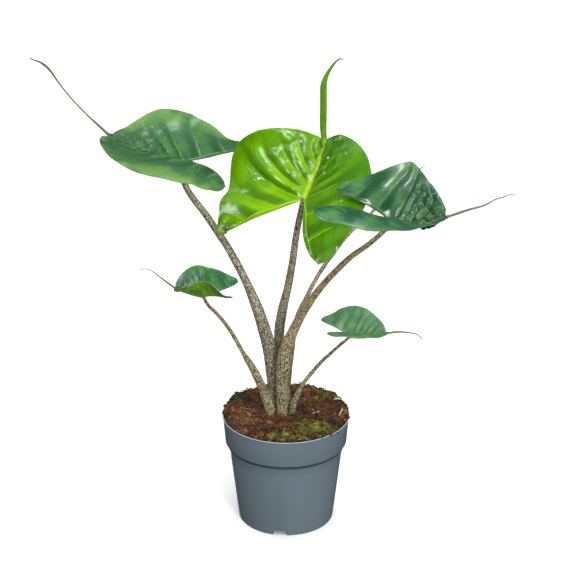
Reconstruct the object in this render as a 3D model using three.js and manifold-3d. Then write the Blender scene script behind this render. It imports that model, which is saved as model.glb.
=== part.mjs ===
// Potted alocasia: a nursery pot with potting mix, a corm, six petioles that each carry one blade,
// moss cushions and slivers of wood. Millimetres, +Z up. The pot stands on the plane z = 0 with its
// axis on the Z axis, and -Y is the front.
import * as THREE from 'three';
import { mergeVertices } from 'three/addons/utils/BufferGeometryUtils.js';
import Module from 'manifold-3d';

const wasm = await Module();
wasm.setup();

// ---- Driving dimensions -------------------------------------------------------------------------

const GAP = 0.35;                 // left between pieces that touch

const POT_HEIGHT = 150;
const POT_RIM_RADIUS = 85;        // outside, at the top edge: a 17 cm pot
const POT_BAND_FOOT = 113;        // the wide band under the rim ends here
const POT_BAND_TAPER = 3.6;       // radius lost from the rim to the band's foot
const POT_LEDGE = 2;              // how far the band steps out over the sloping part
const POT_SHOULDER = 96;          // the body starts here, below the sloping step
const POT_SHOULDER_RADIUS = 74.6;
const POT_FOOT_RADIUS = 64;
const POT_WALL = 1.2;
const POT_FLOOR = 2.4;
const POT_LIP = 0.7;              // the rim's edge stands proud of the band
const POT_LIP_HEIGHT = 2.2;
const POT_SEGMENTS = 48;
const STEM_SIDES = 8;
const TAIL_SIDES = 6;

const CHANNEL_COUNT = 3;          // drainage channels under the floor
const CHANNEL_WIDTH = 19;         // at the foot
const CHANNEL_ROOF_WIDTH = 16;
const CHANNEL_HEIGHT = 7;
const CHANNEL_START = 26;         // distance from the axis
const CHANNEL_TURN = -97;         // degrees: the first channel opens at the front, a little to the left
const SLOT_WIDTH = 4;             // drain slot through the channel's roof
const SLOT_LENGTH = 16;

const MIX_EDGE = 148.5;           // height of the potting mix at the wall
const MIX_CROWN = 5;              // how much higher it is in the middle
const MIX_RADIUS = POT_RIM_RADIUS - POT_WALL - GAP;

const CORM_CENTRE = [-3, 4];
const CORM_TOP = 128;
const CORM_RADIUS = 27;
const CORM_DEPTH = 50;

const BLADE_THICKNESS = 1.2;
const MIDRIB_DEPTH = 2.2;         // extra thickness under the midrib, where the petiole meets it
const PETIOLE_TOP_GAP = 0.5;      // between a petiole and the creased midrib over it
const BLADE_REAR_ROWS = 5;        // rows across the lobes
const BLADE_FRONT_ROWS = 7;       // rows along the midrib
const BLADE_COLUMNS = 5;          // from the midrib to the margin

// ---- Leaf outline -------------------------------------------------------------------------------

// One half of a blade laid flat, in units of the midrib's length: x runs forward from the petiole,
// y out from the midrib. The sinus edge runs from the lobe's tip in to the petiole, and the margin
// runs from the lobe's tip round to the tail.
const SINUS_EDGE = [[-0.92, 0.82], [-0.82, 0.66], [-0.6, 0.46], [-0.36, 0.27], [-0.15, 0.11], [0, 0]];
const MARGIN = [
  [-0.92, 0.82], [-0.84, 0.98], [-0.62, 1.09], [-0.32, 1.16], [0, 1.18], [0.34, 1.13],
  [0.66, 0.97], [0.9, 0.71], [1.03, 0.4], [1.04, 0.16], [1, 0.03],
];
const LOBE_SHARE = 0.42;          // share of the rows that cross the lobe, before the midrib starts
const TAIL_ROOT = 0.96;           // row where a tail leaves the midrib

// ---- Leaves -------------------------------------------------------------------------------------

// at: where the petiole meets the blade. length: of the midrib. heading, pitch, roll: how the blade
// is turned, in degrees. arch: degrees that the midrib bends up over its length, ahead of the petiole
// and behind it. fold: degrees that a half rises from the blade's plane, at the lobe, the petiole and
// the tail. curl: degrees per midrib length that it bends on towards its margin. width, lobe and
// spread: scales of the half. petiole and tail: route points, and [share of the way, diameter] pairs;
// a tail starts inside the blade's tip, before its first route point.
const LEAVES = [
  {
    name: 'upper_left', at: [-130, 25, 496], length: 99.5, heading: 181, pitch: 12, roll: 47, arch: [16, -16],
    left: { fold: [-27, -21, -33], curl: [-37, -33, -23], width: 1.05, lobe: 0.7, spread: -0.05 },
    right: { fold: [73, 42, 25], curl: [-23, 20, 62], width: 1.2, lobe: 0.7, spread: -0.3 },
    petiole: {
      route: [
        [-11, 7, 122], [-13, 8, 152], [-18, 9, 199], [-23, 10, 245], [-35, 12, 290], [-52, 18, 333],
        [-74, 26, 375], [-100, 29, 418], [-123, 28, 454], [-130, 25, 497],
      ],
      girth: [[0, 13], [0.1, 14], [0.32, 18], [0.43, 15.5], [0.53, 11], [0.75, 9.5], [1, 7.4]],
    },
    tail: {
      route: [
        [-238, 34, 541], [-254, 34, 557], [-272, 34, 578], [-285, 34, 596],
        [-296, 34, 613], [-306, 34, 622], [-314, 34, 625], [-320, 34, 628],
      ],
      girth: [[0, 2.4], [0.15, 3.4], [0.3, 2], [0.7, 2], [0.85, 3.4], [1, 1.2]],
    },
  },
  {
    name: 'centre', at: [23, 5, 452], length: 89.5, heading: 63, pitch: 31, roll: -10, arch: [22, -10],
    left: { fold: [39, 18, 50], curl: [-59, -23, 5], width: 1.15, lobe: 0.85, spread: 0.08 },
    right: { fold: [39, 24, 27], curl: [-43, -33, -29], width: 0.95, lobe: 1.35, spread: 0.25 },
    petiole: {
      route: [
        [2, 10, 122], [2, 11, 152], [-6, 18, 210], [-9, 19, 255], [-5, 16, 292], [2, 12, 326],
        [8, 9, 362], [13, 7, 401], [18, 6, 430], [23, 5, 453],
      ],
      girth: [[0, 12], [0.25, 13], [0.5, 13.4], [0.6, 10.5], [1, 7.6]],
    },
    tail: {
      route: [
        [48, 65, 527], [48, 65, 551], [48, 65, 571], [48, 65, 584], [51, 65, 596],
        [57, 65, 607], [63, 65, 615], [68, 65, 619], [73, 65, 618],
      ],
      girth: [[0, 5], [0.12, 8], [0.62, 8], [0.75, 4.4], [1, 1.4]],
    },
  },
  {
    name: 'upper_right', at: [130, -97, 456], length: 66.5, heading: -17, pitch: -5, roll: -15, arch: [36, -4],
    left: { fold: [50, 52, 65], curl: [-1, 14, -4], width: 1.1, lobe: 1.3, spread: -0.38 },
    right: { fold: [39, 25, -4], curl: [-53, -36, 3], width: 1.2, lobe: 1.35, spread: 0.2 },
    petiole: {
      route: [
        [-4, -5, 122], [-5, -7, 152], [-5, -12, 197], [-2, -18, 246], [10, -24, 283], [27, -35, 321],
        [49, -49, 359], [78, -68, 399], [104, -83, 426], [130, -97, 457],
      ],
      girth: [[0, 14], [0.1, 15], [0.27, 18.5], [0.38, 14.5], [0.5, 11], [0.6, 9], [1, 5.8]],
    },
    tail: {
      route: [
        [203, -111, 473], [220, -111, 479], [237, -111, 484], [251, -111, 492],
        [261, -111, 495], [268, -111, 498], [274, -111, 497],
      ],
      girth: [[0, 3], [0.2, 3.6], [0.7, 1.8], [1, 1.2]],
    },
  },
  {
    name: 'lower_left', at: [-106, -35, 334], length: 37.5, heading: 176, pitch: 10, roll: -6, arch: [15, 4],
    left: { fold: [41, 59, 33], curl: [-6, -3, 0], width: 1, lobe: 1.15, spread: 0 },
    right: { fold: [32, 37, 51], curl: [-16, -8, 0], width: 1, lobe: 1.2, spread: 0.05 },
    petiole: {
      route: [
        [-19, -5, 122], [-21, -6, 155], [-30, -8, 188], [-42, -12, 219], [-55, -16, 245],
        [-73, -23, 283], [-89, -29, 308], [-99, -32, 320], [-106, -35, 335],
      ],
      girth: [[0, 12.4], [0.15, 13], [0.4, 11], [0.5, 8.6], [0.56, 5.8], [1, 4.2]],
    },
    tail: {
      route: [
        [-148, -34, 351], [-158, -34, 359], [-166, -34, 366], [-172, -34, 370],
        [-179, -34, 372], [-186, -34, 370],
      ],
      girth: [[0, 2], [0.2, 2.6], [0.6, 1.4], [1, 1]],
    },
  },
  {
    name: 'lower_right', at: [84, -30, 276], length: 47, heading: 2, pitch: -9, roll: -23, arch: [28, 1],
    left: { fold: [33, 38, 44], curl: [-9, 11, 16], width: 1.05, lobe: 0.9, spread: -0.2 },
    right: { fold: [15, 23, 9], curl: [-34, -38, -24], width: 1, lobe: 0.85, spread: 0.05 },
    petiole: {
      route: [
        [7, -4, 122], [8, -5, 153], [11, -6, 169], [19, -9, 192], [28, -12, 208], [46, -17, 234],
        [57, -21, 247], [69, -25, 261], [84, -30, 277],
      ],
      girth: [[0, 7.6], [0.25, 8], [0.36, 7], [0.42, 5.6], [1, 4]],
    },
    tail: {
      route: [
        [142, -24, 280], [152, -24, 280], [161, -24, 279], [169, -24, 277],
        [173, -24, 274], [177, -24, 270],
      ],
      girth: [[0, 2.4], [0.2, 3], [0.7, 1.8], [1, 1.2]],
    },
  },
  {
    name: 'rear', at: [129, 88, 424], length: 46, heading: 30, pitch: 18, roll: -19, arch: [20, 2],
    left: { fold: [34, 34, 34], curl: [-20, -15, -10], width: 1, lobe: 1, spread: 0 },
    right: { fold: [52, 52, 52], curl: [-20, -15, -10], width: 1, lobe: 1, spread: 0 },
    petiole: {
      route: [
        [2, 23, 122], [2, 25, 152], [4, 25, 190], [7, 25, 221], [14, 29, 275], [27, 35, 304],
        [43, 44, 333], [63, 54, 360], [85, 64, 385], [112, 78, 406], [129, 88, 425],
      ],
      girth: [[0, 7], [0.4, 6.4], [1, 4.4]],
    },
    tail: {
      route: [[173, 113, 450], [179, 117, 456], [186, 120, 459]],
      girth: [[0, 2], [0.3, 2.4], [1, 1]],
    },
  },
];

// ---- Litter on the potting mix ------------------------------------------------------------------

const MOSS_CUSHIONS = [
  { name: 'moss_front_right', at: [34, -47], size: [23, 18], turn: -25, height: 4 },
  { name: 'moss_front_edge', at: [-3, -71], size: [19, 9], turn: 3, height: 3 },
  { name: 'moss_back_right', at: [55, 40], size: [15, 11], turn: -38, height: 3.5 },
  { name: 'moss_left', at: [-65, 34], size: [12, 7], turn: 62, height: 3.5 },
];
const WOOD_SLIVERS = [
  { name: 'wood_sliver_middle', at: [40, -8], length: 14, width: 2.4, turn: 37 },
  { name: 'wood_sliver_back', at: [70, 24], length: 13, width: 3, turn: 5 },
  { name: 'wood_sliver_right', at: [73, -12], length: 16, width: 1.6, turn: 68 },
];
const SLIVER_THICKNESS = 1.4;

// ---- Materials ----------------------------------------------------------------------------------

function finish(color, roughness) {
  return new THREE.MeshStandardMaterial({ color, roughness, metalness: 0 });
}

const POT_PLASTIC = finish(0x68777f, 0.55);
const POTTING_MIX = finish(0x5a3426, 0.95);
const CORM_SKIN = finish(0x6b4a33, 0.9);
const PETIOLE_SKIN = finish(0x847c5e, 0.6);
const BLADE_DARK = finish(0x3f6f3a, 0.35);
const BLADE_YOUNG = finish(0x6fae1c, 0.3);
const MOSS = finish(0x6c7a1e, 0.95);
const PALE_WOOD = finish(0xc8a487, 0.8);

// ---- Solids -------------------------------------------------------------------------------------

/** Turns a closed geometry into a solid, with its shared vertices merged and empty triangles left out. */
function toSolid(geometry) {
  const bare = new THREE.BufferGeometry();
  bare.setAttribute('position', geometry.getAttribute('position'));
  bare.setIndex(geometry.index);
  const merged = mergeVertices(bare, 1e-3);
  const triangles = wholeTriangles(merged.index.array);
  return new wasm.Manifold(new wasm.Mesh({
    numProp: 3,
    vertProperties: new Float32Array(merged.getAttribute('position').array),
    triVerts: Uint32Array.from(triangles.flat()),
  }));
}

/** Splits an index into triangles and drops those that use a vertex twice. */
function wholeTriangles(index) {
  const triangles = [];
  for (let i = 0; i < index.length; i += 3) {
    const [a, b, c] = [index[i], index[i + 1], index[i + 2]];
    if (a !== b && b !== c && c !== a) triangles.push([a, b, c]);
  }
  return triangles;
}

/** Turns a solid back into a geometry. */
function toGeometry(solid) {
  const { vertProperties, triVerts } = solid.getMesh();
  const geometry = new THREE.BufferGeometry();
  geometry.setAttribute('position', new THREE.BufferAttribute(vertProperties, 3));
  geometry.setIndex(new THREE.BufferAttribute(triVerts, 1));
  geometry.computeVertexNormals();
  return geometry;
}

/** Revolves a closed [radius, height] profile about the Z axis. */
function turned(profile, segments = POT_SEGMENTS) {
  const points = profile.map(([radius, height]) => new THREE.Vector2(radius, height));
  return toSolid(new THREE.LatheGeometry(points, segments).rotateX(Math.PI / 2));
}

/** Straight-line value of a table of [share, value] pairs. */
function along(table, share) {
  const next = table.findIndex(([at]) => at >= share);
  if (next <= 0) return table[0][1];
  const [from, low] = table[next - 1];
  const [to, high] = table[next];
  return low + (high - low) * (share - from) / (to - from);
}

/** A round stem along a route, with a diameter that follows its girth table. */
function stem({ route, girth }, sides, steps, grow = 0) {
  const curve = new THREE.CatmullRomCurve3(route.map((point) => new THREE.Vector3(...point)));
  const frames = curve.computeFrenetFrames(steps);
  const corners = [];
  const ring = (step) => {
    const share = step / steps;
    const centre = curve.getPointAt(share);
    const radius = along(girth, share) / 2 + grow;
    return Array.from({ length: sides }, (_, k) => centre.clone()
      .addScaledVector(frames.normals[step], radius * Math.cos(2 * Math.PI * k / sides))
      .addScaledVector(frames.binormals[step], radius * Math.sin(2 * Math.PI * k / sides)));
  };
  const rings = Array.from({ length: steps + 1 }, (_, step) => ring(step));
  for (let k = 0; k < sides; k++) {
    const next = (k + 1) % sides;
    for (let step = 0; step < steps; step++) {
      const [a, b, c, d] = [rings[step][k], rings[step][next], rings[step + 1][next], rings[step + 1][k]];
      corners.push(a, b, c, a, c, d);
    }
    corners.push(rings[0][next], rings[0][k], curve.getPointAt(0));
    corners.push(rings[steps][k], rings[steps][next], curve.getPointAt(1));
  }
  return toSolid(new THREE.BufferGeometry().setFromPoints(corners));
}

// ---- Pot ----------------------------------------------------------------------------------------

/** Outer radius of the pot's body at a height below the shoulder. */
function bodyRadius(height) {
  return POT_FOOT_RADIUS + (POT_SHOULDER_RADIUS - POT_FOOT_RADIUS) * height / POT_SHOULDER;
}

/** The pot's outline from the floor's height up to the rim, drawn in from the outside by an inset. */
function wallLine(inset, floor) {
  return [
    [bodyRadius(floor) - inset, floor],
    [POT_SHOULDER_RADIUS - inset, POT_SHOULDER],
    [POT_RIM_RADIUS - POT_BAND_TAPER - POT_LEDGE - inset, POT_BAND_FOOT + inset],
    [POT_RIM_RADIUS - POT_BAND_TAPER - inset, POT_BAND_FOOT + inset],
  ];
}

/** A trapezoid bar that runs outwards from the axis at an angle. */
function radialBar(footWidth, roofWidth, foot, roof, start, end, degrees) {
  const section = new THREE.Shape([
    new THREE.Vector2(-footWidth / 2, foot),
    new THREE.Vector2(footWidth / 2, foot),
    new THREE.Vector2(roofWidth / 2, roof),
    new THREE.Vector2(-roofWidth / 2, roof),
  ]);
  const bar = new THREE.ExtrudeGeometry(section, { depth: end - start, bevelEnabled: false });
  bar.translate(0, 0, start);
  bar.rotateX(Math.PI / 2);
  return toSolid(bar.rotateZ(THREE.MathUtils.degToRad(degrees + 90)));
}

/** Directions of the drainage channels, in degrees from +X. */
const channelDirections = Array.from(
  { length: CHANNEL_COUNT },
  (_, k) => CHANNEL_TURN + 360 * k / CHANNEL_COUNT,
);

/** The raised floor over one drainage channel, made larger all round by grow. */
function channelRidge(degrees, grow) {
  const wider = 2 * (POT_WALL + grow);
  return radialBar(
    CHANNEL_WIDTH + wider, CHANNEL_ROOF_WIDTH + wider, POT_FLOOR / 2,
    CHANNEL_HEIGHT + POT_WALL + grow, CHANNEL_START - POT_WALL - grow, POT_RIM_RADIUS, degrees,
  );
}

/** Thin-walled pot with a wide band under the rim and channels under its floor. */
function nurseryPot() {
  const lipFoot = POT_HEIGHT - POT_LIP_HEIGHT;
  const envelope = turned([
    [0, 0], [POT_FOOT_RADIUS - 1, 0], [bodyRadius(1), 1], ...wallLine(0, 2).slice(1),
    [POT_RIM_RADIUS - POT_LIP, lipFoot], [POT_RIM_RADIUS, lipFoot + POT_LIP],
    [POT_RIM_RADIUS, POT_HEIGHT - 0.5], [POT_RIM_RADIUS - 0.5, POT_HEIGHT], [0, POT_HEIGHT],
  ]);
  const hollow = turned([
    [0, POT_FLOOR], ...wallLine(POT_WALL, POT_FLOOR),
    [POT_RIM_RADIUS - POT_WALL, POT_HEIGHT + 1], [0, POT_HEIGHT + 1],
  ]);
  let pot = envelope.subtract(hollow);
  for (const degrees of channelDirections) {
    pot = pot.add(channelRidge(degrees, 0).intersect(envelope));
  }
  for (const degrees of channelDirections) {
    const channel = radialBar(
      CHANNEL_WIDTH, CHANNEL_ROOF_WIDTH, -1, CHANNEL_HEIGHT, CHANNEL_START, POT_RIM_RADIUS, degrees,
    );
    const slot = radialBar(
      SLOT_WIDTH, SLOT_WIDTH, CHANNEL_HEIGHT - 1, CHANNEL_HEIGHT + 2 * POT_WALL,
      CHANNEL_START + 8, CHANNEL_START + 8 + SLOT_LENGTH, degrees,
    );
    pot = pot.subtract(channel).subtract(slot);
  }
  return pot;
}

// ---- Potting mix and corm -----------------------------------------------------------------------

/** Height of the potting mix at a point: a low dome. */
function mixHeight(x, y) {
  return MIX_EDGE + MIX_CROWN * (1 - (x * x + y * y) / (MIX_RADIUS * MIX_RADIUS));
}

/** The swollen underground stem that the petioles grow from, made larger all round by grow. */
function corm(grow) {
  const [x, y] = CORM_CENTRE;
  const radius = CORM_RADIUS + grow;
  const foot = CORM_TOP - CORM_DEPTH - grow;
  const profile = [
    [0, foot], [0.5 * radius, foot + 3], [0.85 * radius, foot + 15], [radius, foot + 32],
    [0.97 * radius, CORM_TOP - 5 + grow], [0.9 * radius, CORM_TOP + grow], [0, CORM_TOP + grow],
  ];
  return turned(profile, 24).translate([x, y, 0]);
}

/** The mix fills the pot and leaves room for the floor's ridges, the corm and the petioles. */
function pottingMix() {
  const domed = [1, 0.75, 0.5, 0.25, 0].map((share) => {
    const radius = share * MIX_RADIUS;
    return [radius, mixHeight(radius, 0)];
  });
  const floor = POT_FLOOR + GAP;
  let mix = turned([[0, floor], ...wallLine(POT_WALL + GAP, floor), ...domed]);
  for (const degrees of channelDirections) mix = mix.subtract(channelRidge(degrees, GAP));
  mix = mix.subtract(corm(GAP));
  for (const leaf of LEAVES) mix = mix.subtract(petioleStem(leaf, GAP));
  return mix;
}

// ---- Blades -------------------------------------------------------------------------------------

/** Uniform Catmull-Rom point on an open outline of [x, y] pairs, at a share of its spans. */
function outlinePoint(outline, share) {
  const last = outline.length - 1;
  const span = Math.min(Math.floor(share * last), last - 1);
  const f = share * last - span;
  const mirrored = (end, inner) => [2 * end[0] - inner[0], 2 * end[1] - inner[1]];
  const before = outline[span - 1] ?? mirrored(outline[0], outline[1]);
  const after = outline[span + 2] ?? mirrored(outline[last], outline[last - 1]);
  const [from, to] = [outline[span], outline[span + 1]];
  return [0, 1].map((k) => 0.5 * (
    2 * from[k] + (to[k] - before[k]) * f
    + (2 * before[k] - 5 * from[k] + 4 * to[k] - after[k]) * f * f
    + (3 * from[k] - before[k] - 3 * to[k] + after[k]) * f * f * f
  ));
}

/** Point of a flat half blade: row runs 0 to 1 from lobe to tail, out 0 to 1 from midrib to margin. */
function flatPoint(row, out) {
  const [marginX, marginY] = outlinePoint(MARGIN, row);
  const inner = row < LOBE_SHARE
    ? outlinePoint(SINUS_EDGE, row / LOBE_SHARE)
    : [(row - LOBE_SHARE) / (1 - LOBE_SHARE), 0];
  return [inner[0] + (marginX - inner[0]) * out, inner[1] + (marginY - inner[1]) * out];
}

/** Blends [lobe, petiole, tail] values smoothly along the blade. */
function blend([lobe, petiole, tail], x) {
  const share = Math.min(Math.abs(x) / (x < 0 ? 0.9 : 1), 1);
  const weight = share * share * (3 - 2 * share);
  return petiole + ((x < 0 ? lobe : tail) - petiole) * weight;
}

/** Point of a leaf's middle surface. side is 1 for the left half and -1 for the right half. */
function bladePoint(leaf, side, row, out) {
  const half = side > 0 ? leaf.left : leaf.right;
  const [flatX, flatY] = flatPoint(row, out);
  const reach = flatY * half.width * (1 + half.spread * Math.max(-flatX, 0));
  const x = flatX < 0 ? flatX * half.lobe : flatX;
  const arch = THREE.MathUtils.degToRad(leaf.arch[x > 0 ? 0 : 1]);
  const lean = arch * x;
  const fold = THREE.MathUtils.degToRad(blend(half.fold, x));
  const bend = THREE.MathUtils.degToRad(blend(half.curl, x)) || 1e-4;
  const outward = (Math.sin(fold + bend * reach) - Math.sin(fold)) / bend;
  const rise = (Math.cos(fold) - Math.cos(fold + bend * reach)) / bend;
  return new THREE.Vector3(
    Math.sin(lean) / arch - Math.sin(lean) * rise,
    side * outward,
    (1 - Math.cos(lean)) / arch + Math.cos(lean) * rise,
  ).multiplyScalar(leaf.length);
}

/** Where a leaf's blade stands: turned by its roll, pitch and heading, then moved to its petiole. */
function bladePlace(leaf) {
  const [heading, pitch, roll] = [leaf.heading, leaf.pitch, leaf.roll].map(THREE.MathUtils.degToRad);
  return new THREE.Matrix4().makeTranslation(...leaf.at)
    .multiply(new THREE.Matrix4().makeRotationZ(heading))
    .multiply(new THREE.Matrix4().makeRotationY(-pitch))
    .multiply(new THREE.Matrix4().makeRotationX(roll));
}

/** The blade's middle surface as one open sheet. Its uv holds row and out. */
function bladeSheet(leaf) {
  const rows = BLADE_REAR_ROWS + BLADE_FRONT_ROWS;
  const corners = [];
  const shares = [];
  const rowShare = (i) => (i < BLADE_REAR_ROWS
    ? LOBE_SHARE * i / BLADE_REAR_ROWS
    : LOBE_SHARE + (1 - LOBE_SHARE) * (i - BLADE_REAR_ROWS) / BLADE_FRONT_ROWS);
  for (const side of [1, -1]) {
    for (let i = 0; i < rows; i++) {
      for (let j = 0; j < BLADE_COLUMNS; j++) {
        const quad = [[i, j], [i + 1, j], [i + 1, j + 1], [i, j], [i + 1, j + 1], [i, j + 1]];
        if (side < 0) quad.reverse();
        for (const [row, column] of quad) {
          const out = row === 0 || row === rows ? 0 : column / BLADE_COLUMNS;
          corners.push(bladePoint(leaf, side, rowShare(row), out));
          shares.push(rowShare(row), out);
        }
      }
    }
  }
  const sheet = new THREE.BufferGeometry().setFromPoints(corners);
  sheet.setAttribute('uv', new THREE.Float32BufferAttribute(shares, 2));
  const merged = mergeVertices(sheet.applyMatrix4(bladePlace(leaf)), 1e-3);
  merged.setIndex(wholeTriangles(merged.index.array).flat());
  merged.computeVertexNormals();
  return merged;
}

/** Gives an open sheet a thickness, with a deeper midrib underneath. */
function thickSheet(sheet) {
  const position = sheet.getAttribute('position');
  const normal = sheet.getAttribute('normal');
  const share = sheet.getAttribute('uv');
  const at = (index, distance) => new THREE.Vector3().fromBufferAttribute(position, index)
    .addScaledVector(new THREE.Vector3().fromBufferAttribute(normal, index), distance);
  const top = (index) => at(index, BLADE_THICKNESS / 2);
  const bottom = (index) => {
    const onRib = share.getY(index) === 0 && share.getX(index) >= LOBE_SHARE;
    const rib = onRib ? MIDRIB_DEPTH * (1 - share.getX(index)) / (1 - LOBE_SHARE) : 0;
    return at(index, -BLADE_THICKNESS / 2 - rib);
  };
  const triangles = wholeTriangles(sheet.index.array);
  const edges = new Set(triangles.flatMap(([a, b, c]) => [`${a} ${b}`, `${b} ${c}`, `${c} ${a}`]));
  const corners = [];
  for (const [a, b, c] of triangles) {
    corners.push(top(a), top(b), top(c), bottom(a), bottom(c), bottom(b));
  }
  for (const edge of edges) {
    const [a, b] = edge.split(' ').map(Number);
    if (edges.has(`${b} ${a}`)) continue;
    corners.push(top(b), top(a), bottom(a), top(b), bottom(a), bottom(b));
  }
  return toSolid(new THREE.BufferGeometry().setFromPoints(corners));
}

/** A whole blade: the thick sheet joined with its tail, which starts on the midrib. */
function blade(leaf) {
  const root = bladePoint(leaf, 1, TAIL_ROOT, 0).applyMatrix4(bladePlace(leaf)).toArray();
  const tail = { route: [root, ...leaf.tail.route], girth: leaf.tail.girth };
  return thickSheet(bladeSheet(leaf)).add(stem(tail, TAIL_SIDES, tail.route.length));
}

/** A leaf's petiole as a full stem, before it is cut at its two ends. */
function petioleStem(leaf, grow) {
  return stem(leaf.petiole, STEM_SIDES, 2 * leaf.petiole.route.length, grow);
}

/** A petiole that stands on the corm and stops just under its blade. */
function petiole(leaf) {
  const top = thickSheet(bladeSheet(leaf));
  let cut = petioleStem(leaf, 0).subtract(corm(GAP));
  for (const step of [-PETIOLE_TOP_GAP, 0, PETIOLE_TOP_GAP]) {
    cut = cut.subtract(top.translate([step, 0, 0])).subtract(top.translate([0, step, 0]));
    cut = cut.subtract(top.translate([0, 0, step]));
  }
  return cut.decompose().reduce((largest, part) => (part.volume() > largest.volume() ? part : largest));
}

// ---- Litter -------------------------------------------------------------------------------------

/** Turns a flat-bottomed geometry, moves it to a place and lays it on the dome of the mix. */
function laidOnMix(geometry, [x, y], degrees) {
  geometry.rotateZ(THREE.MathUtils.degToRad(degrees)).translate(x, y, 0);
  const position = geometry.getAttribute('position');
  for (let i = 0; i < position.count; i++) {
    const height = mixHeight(position.getX(i), position.getY(i)) + GAP + position.getZ(i);
    position.setZ(i, height);
  }
  return toSolid(geometry);
}

/** A low cushion of moss with a lobed outline and a flat underside. */
function mossCushion({ at, size, turn, height }) {
  const cushion = new THREE.SphereGeometry(1, 15, 6).rotateX(Math.PI / 2);
  const position = cushion.getAttribute('position');
  for (let i = 0; i < position.count; i++) {
    const [x, y, z] = [position.getX(i), position.getY(i), position.getZ(i)];
    const lobes = 1 + 0.12 * Math.sin(5 * Math.atan2(y, x)) * Math.hypot(x, y);
    position.setXYZ(i, size[0] * x * lobes, size[1] * y * lobes, height * Math.max(z, 0));
  }
  return laidOnMix(cushion, at, turn);
}

/** A thin pointed splinter of wood. */
function woodSliver({ at, length, width, turn }) {
  const outline = new THREE.Shape([
    new THREE.Vector2(-length / 2, 0),
    new THREE.Vector2(-length / 3, -width / 2),
    new THREE.Vector2(length / 4, -width / 2),
    new THREE.Vector2(length / 2, width / 6),
    new THREE.Vector2(length / 3, width / 2),
    new THREE.Vector2(-length / 4, width / 2),
  ]);
  const splinter = new THREE.ExtrudeGeometry(outline, { depth: SLIVER_THICKNESS, bevelEnabled: false });
  return laidOnMix(splinter, at, turn);
}

// ---- Assembly -----------------------------------------------------------------------------------

const plant = new THREE.Group();

/** Adds one solid to the plant as a named mesh. */
function addPiece(name, solid, material) {
  const mesh = new THREE.Mesh(toGeometry(solid), material.clone());
  mesh.name = name;
  plant.add(mesh);
}

addPiece('nursery_pot', nurseryPot(), POT_PLASTIC);
addPiece('potting_mix', pottingMix(), POTTING_MIX);
addPiece('corm', corm(0), CORM_SKIN);
for (const leaf of LEAVES) {
  addPiece(`petiole_${leaf.name}`, petiole(leaf), PETIOLE_SKIN);
  addPiece(`blade_${leaf.name}`, blade(leaf), leaf.name === 'centre' ? BLADE_YOUNG : BLADE_DARK);
}
for (const cushion of MOSS_CUSHIONS) addPiece(cushion.name, mossCushion(cushion), MOSS);
for (const sliver of WOOD_SLIVERS) addPiece(sliver.name, woodSliver(sliver), PALE_WOOD);

export default plant;
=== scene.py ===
"""Potted alocasia in a plain nursery pot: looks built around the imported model.

Leaf shapes come from one formula: half an outline laid flat, folded and curled about an arched
midrib, then turned and moved to its petiole. Sizes in the dataclasses are millimetres.
"""
import logging
import math
from collections.abc import Callable
from dataclasses import dataclass, field
from enum import Enum

import bpy
import numpy as np
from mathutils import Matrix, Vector


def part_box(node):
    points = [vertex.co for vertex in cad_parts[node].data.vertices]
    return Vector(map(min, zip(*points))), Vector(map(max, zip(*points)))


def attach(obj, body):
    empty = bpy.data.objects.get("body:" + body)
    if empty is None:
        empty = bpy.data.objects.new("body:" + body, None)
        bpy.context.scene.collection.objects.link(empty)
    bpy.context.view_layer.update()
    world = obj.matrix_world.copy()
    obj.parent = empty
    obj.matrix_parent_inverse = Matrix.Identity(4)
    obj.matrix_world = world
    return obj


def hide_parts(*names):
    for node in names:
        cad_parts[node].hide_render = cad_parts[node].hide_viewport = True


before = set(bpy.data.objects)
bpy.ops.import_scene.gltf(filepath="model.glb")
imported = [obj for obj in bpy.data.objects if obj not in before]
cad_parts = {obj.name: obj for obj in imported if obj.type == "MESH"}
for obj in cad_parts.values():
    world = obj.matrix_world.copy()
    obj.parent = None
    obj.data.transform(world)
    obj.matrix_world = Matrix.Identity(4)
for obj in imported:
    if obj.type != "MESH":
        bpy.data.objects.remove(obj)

log = logging.getLogger("potted_alocasia")

MM = 0.001
ROOT = "root"
TURN = 2 * math.pi
ANY_TURN = 6.28
Colour = tuple[float, float, float]
Point = tuple[float, float, float]
Place = Callable[[np.ndarray, np.ndarray], np.ndarray]

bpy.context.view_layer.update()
POT_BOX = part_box("nursery_pot")
POT_HEIGHT = POT_BOX[1].z
POT_RADIUS = POT_BOX[1].x
MIX_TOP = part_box("potting_mix")[1].z
MIX_DOME = 0.005
MIX_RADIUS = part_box("potting_mix")[1].x


# ---- Numbers and curves --------------------------------------------------------------------------

RIPPLE_WAVES = 6
RIPPLE_SCALE = 3.2


def smooth(value: np.ndarray, low: float, high: float) -> np.ndarray:
    """Rise smoothly from 0 at low to 1 at high."""
    share = np.clip((value - low) / (high - low), 0.0, 1.0)
    return share * share * (3.0 - 2.0 * share)


def hump(value: np.ndarray, centre: float, width: float) -> np.ndarray:
    """Bell curve of height 1."""
    return np.exp(-(((value - centre) / width) ** 2))


def catmull(points: np.ndarray, share: np.ndarray) -> np.ndarray:
    """Point on an open Catmull-Rom curve.

    Args:
        points: the curve's points, one in each row.
        share: share of the curve's spans, 0 to 1.

    Returns:
        One point for each share.
    """
    spans = len(points) - 1
    padded = np.vstack([2 * points[0] - points[1], points, 2 * points[-1] - points[-2]])
    place = np.clip(share, 0.0, 1.0) * spans
    span = np.minimum(place.astype(int), spans - 1)
    f = (place - span)[..., None]
    a, b, c, d = padded[span], padded[span + 1], padded[span + 2], padded[span + 3]
    cubic = -a + 3 * b - 3 * c + d
    return 0.5 * (2 * b + (c - a) * f + (2 * a - 5 * b + 4 * c - d) * f**2 + cubic * f**3)


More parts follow.
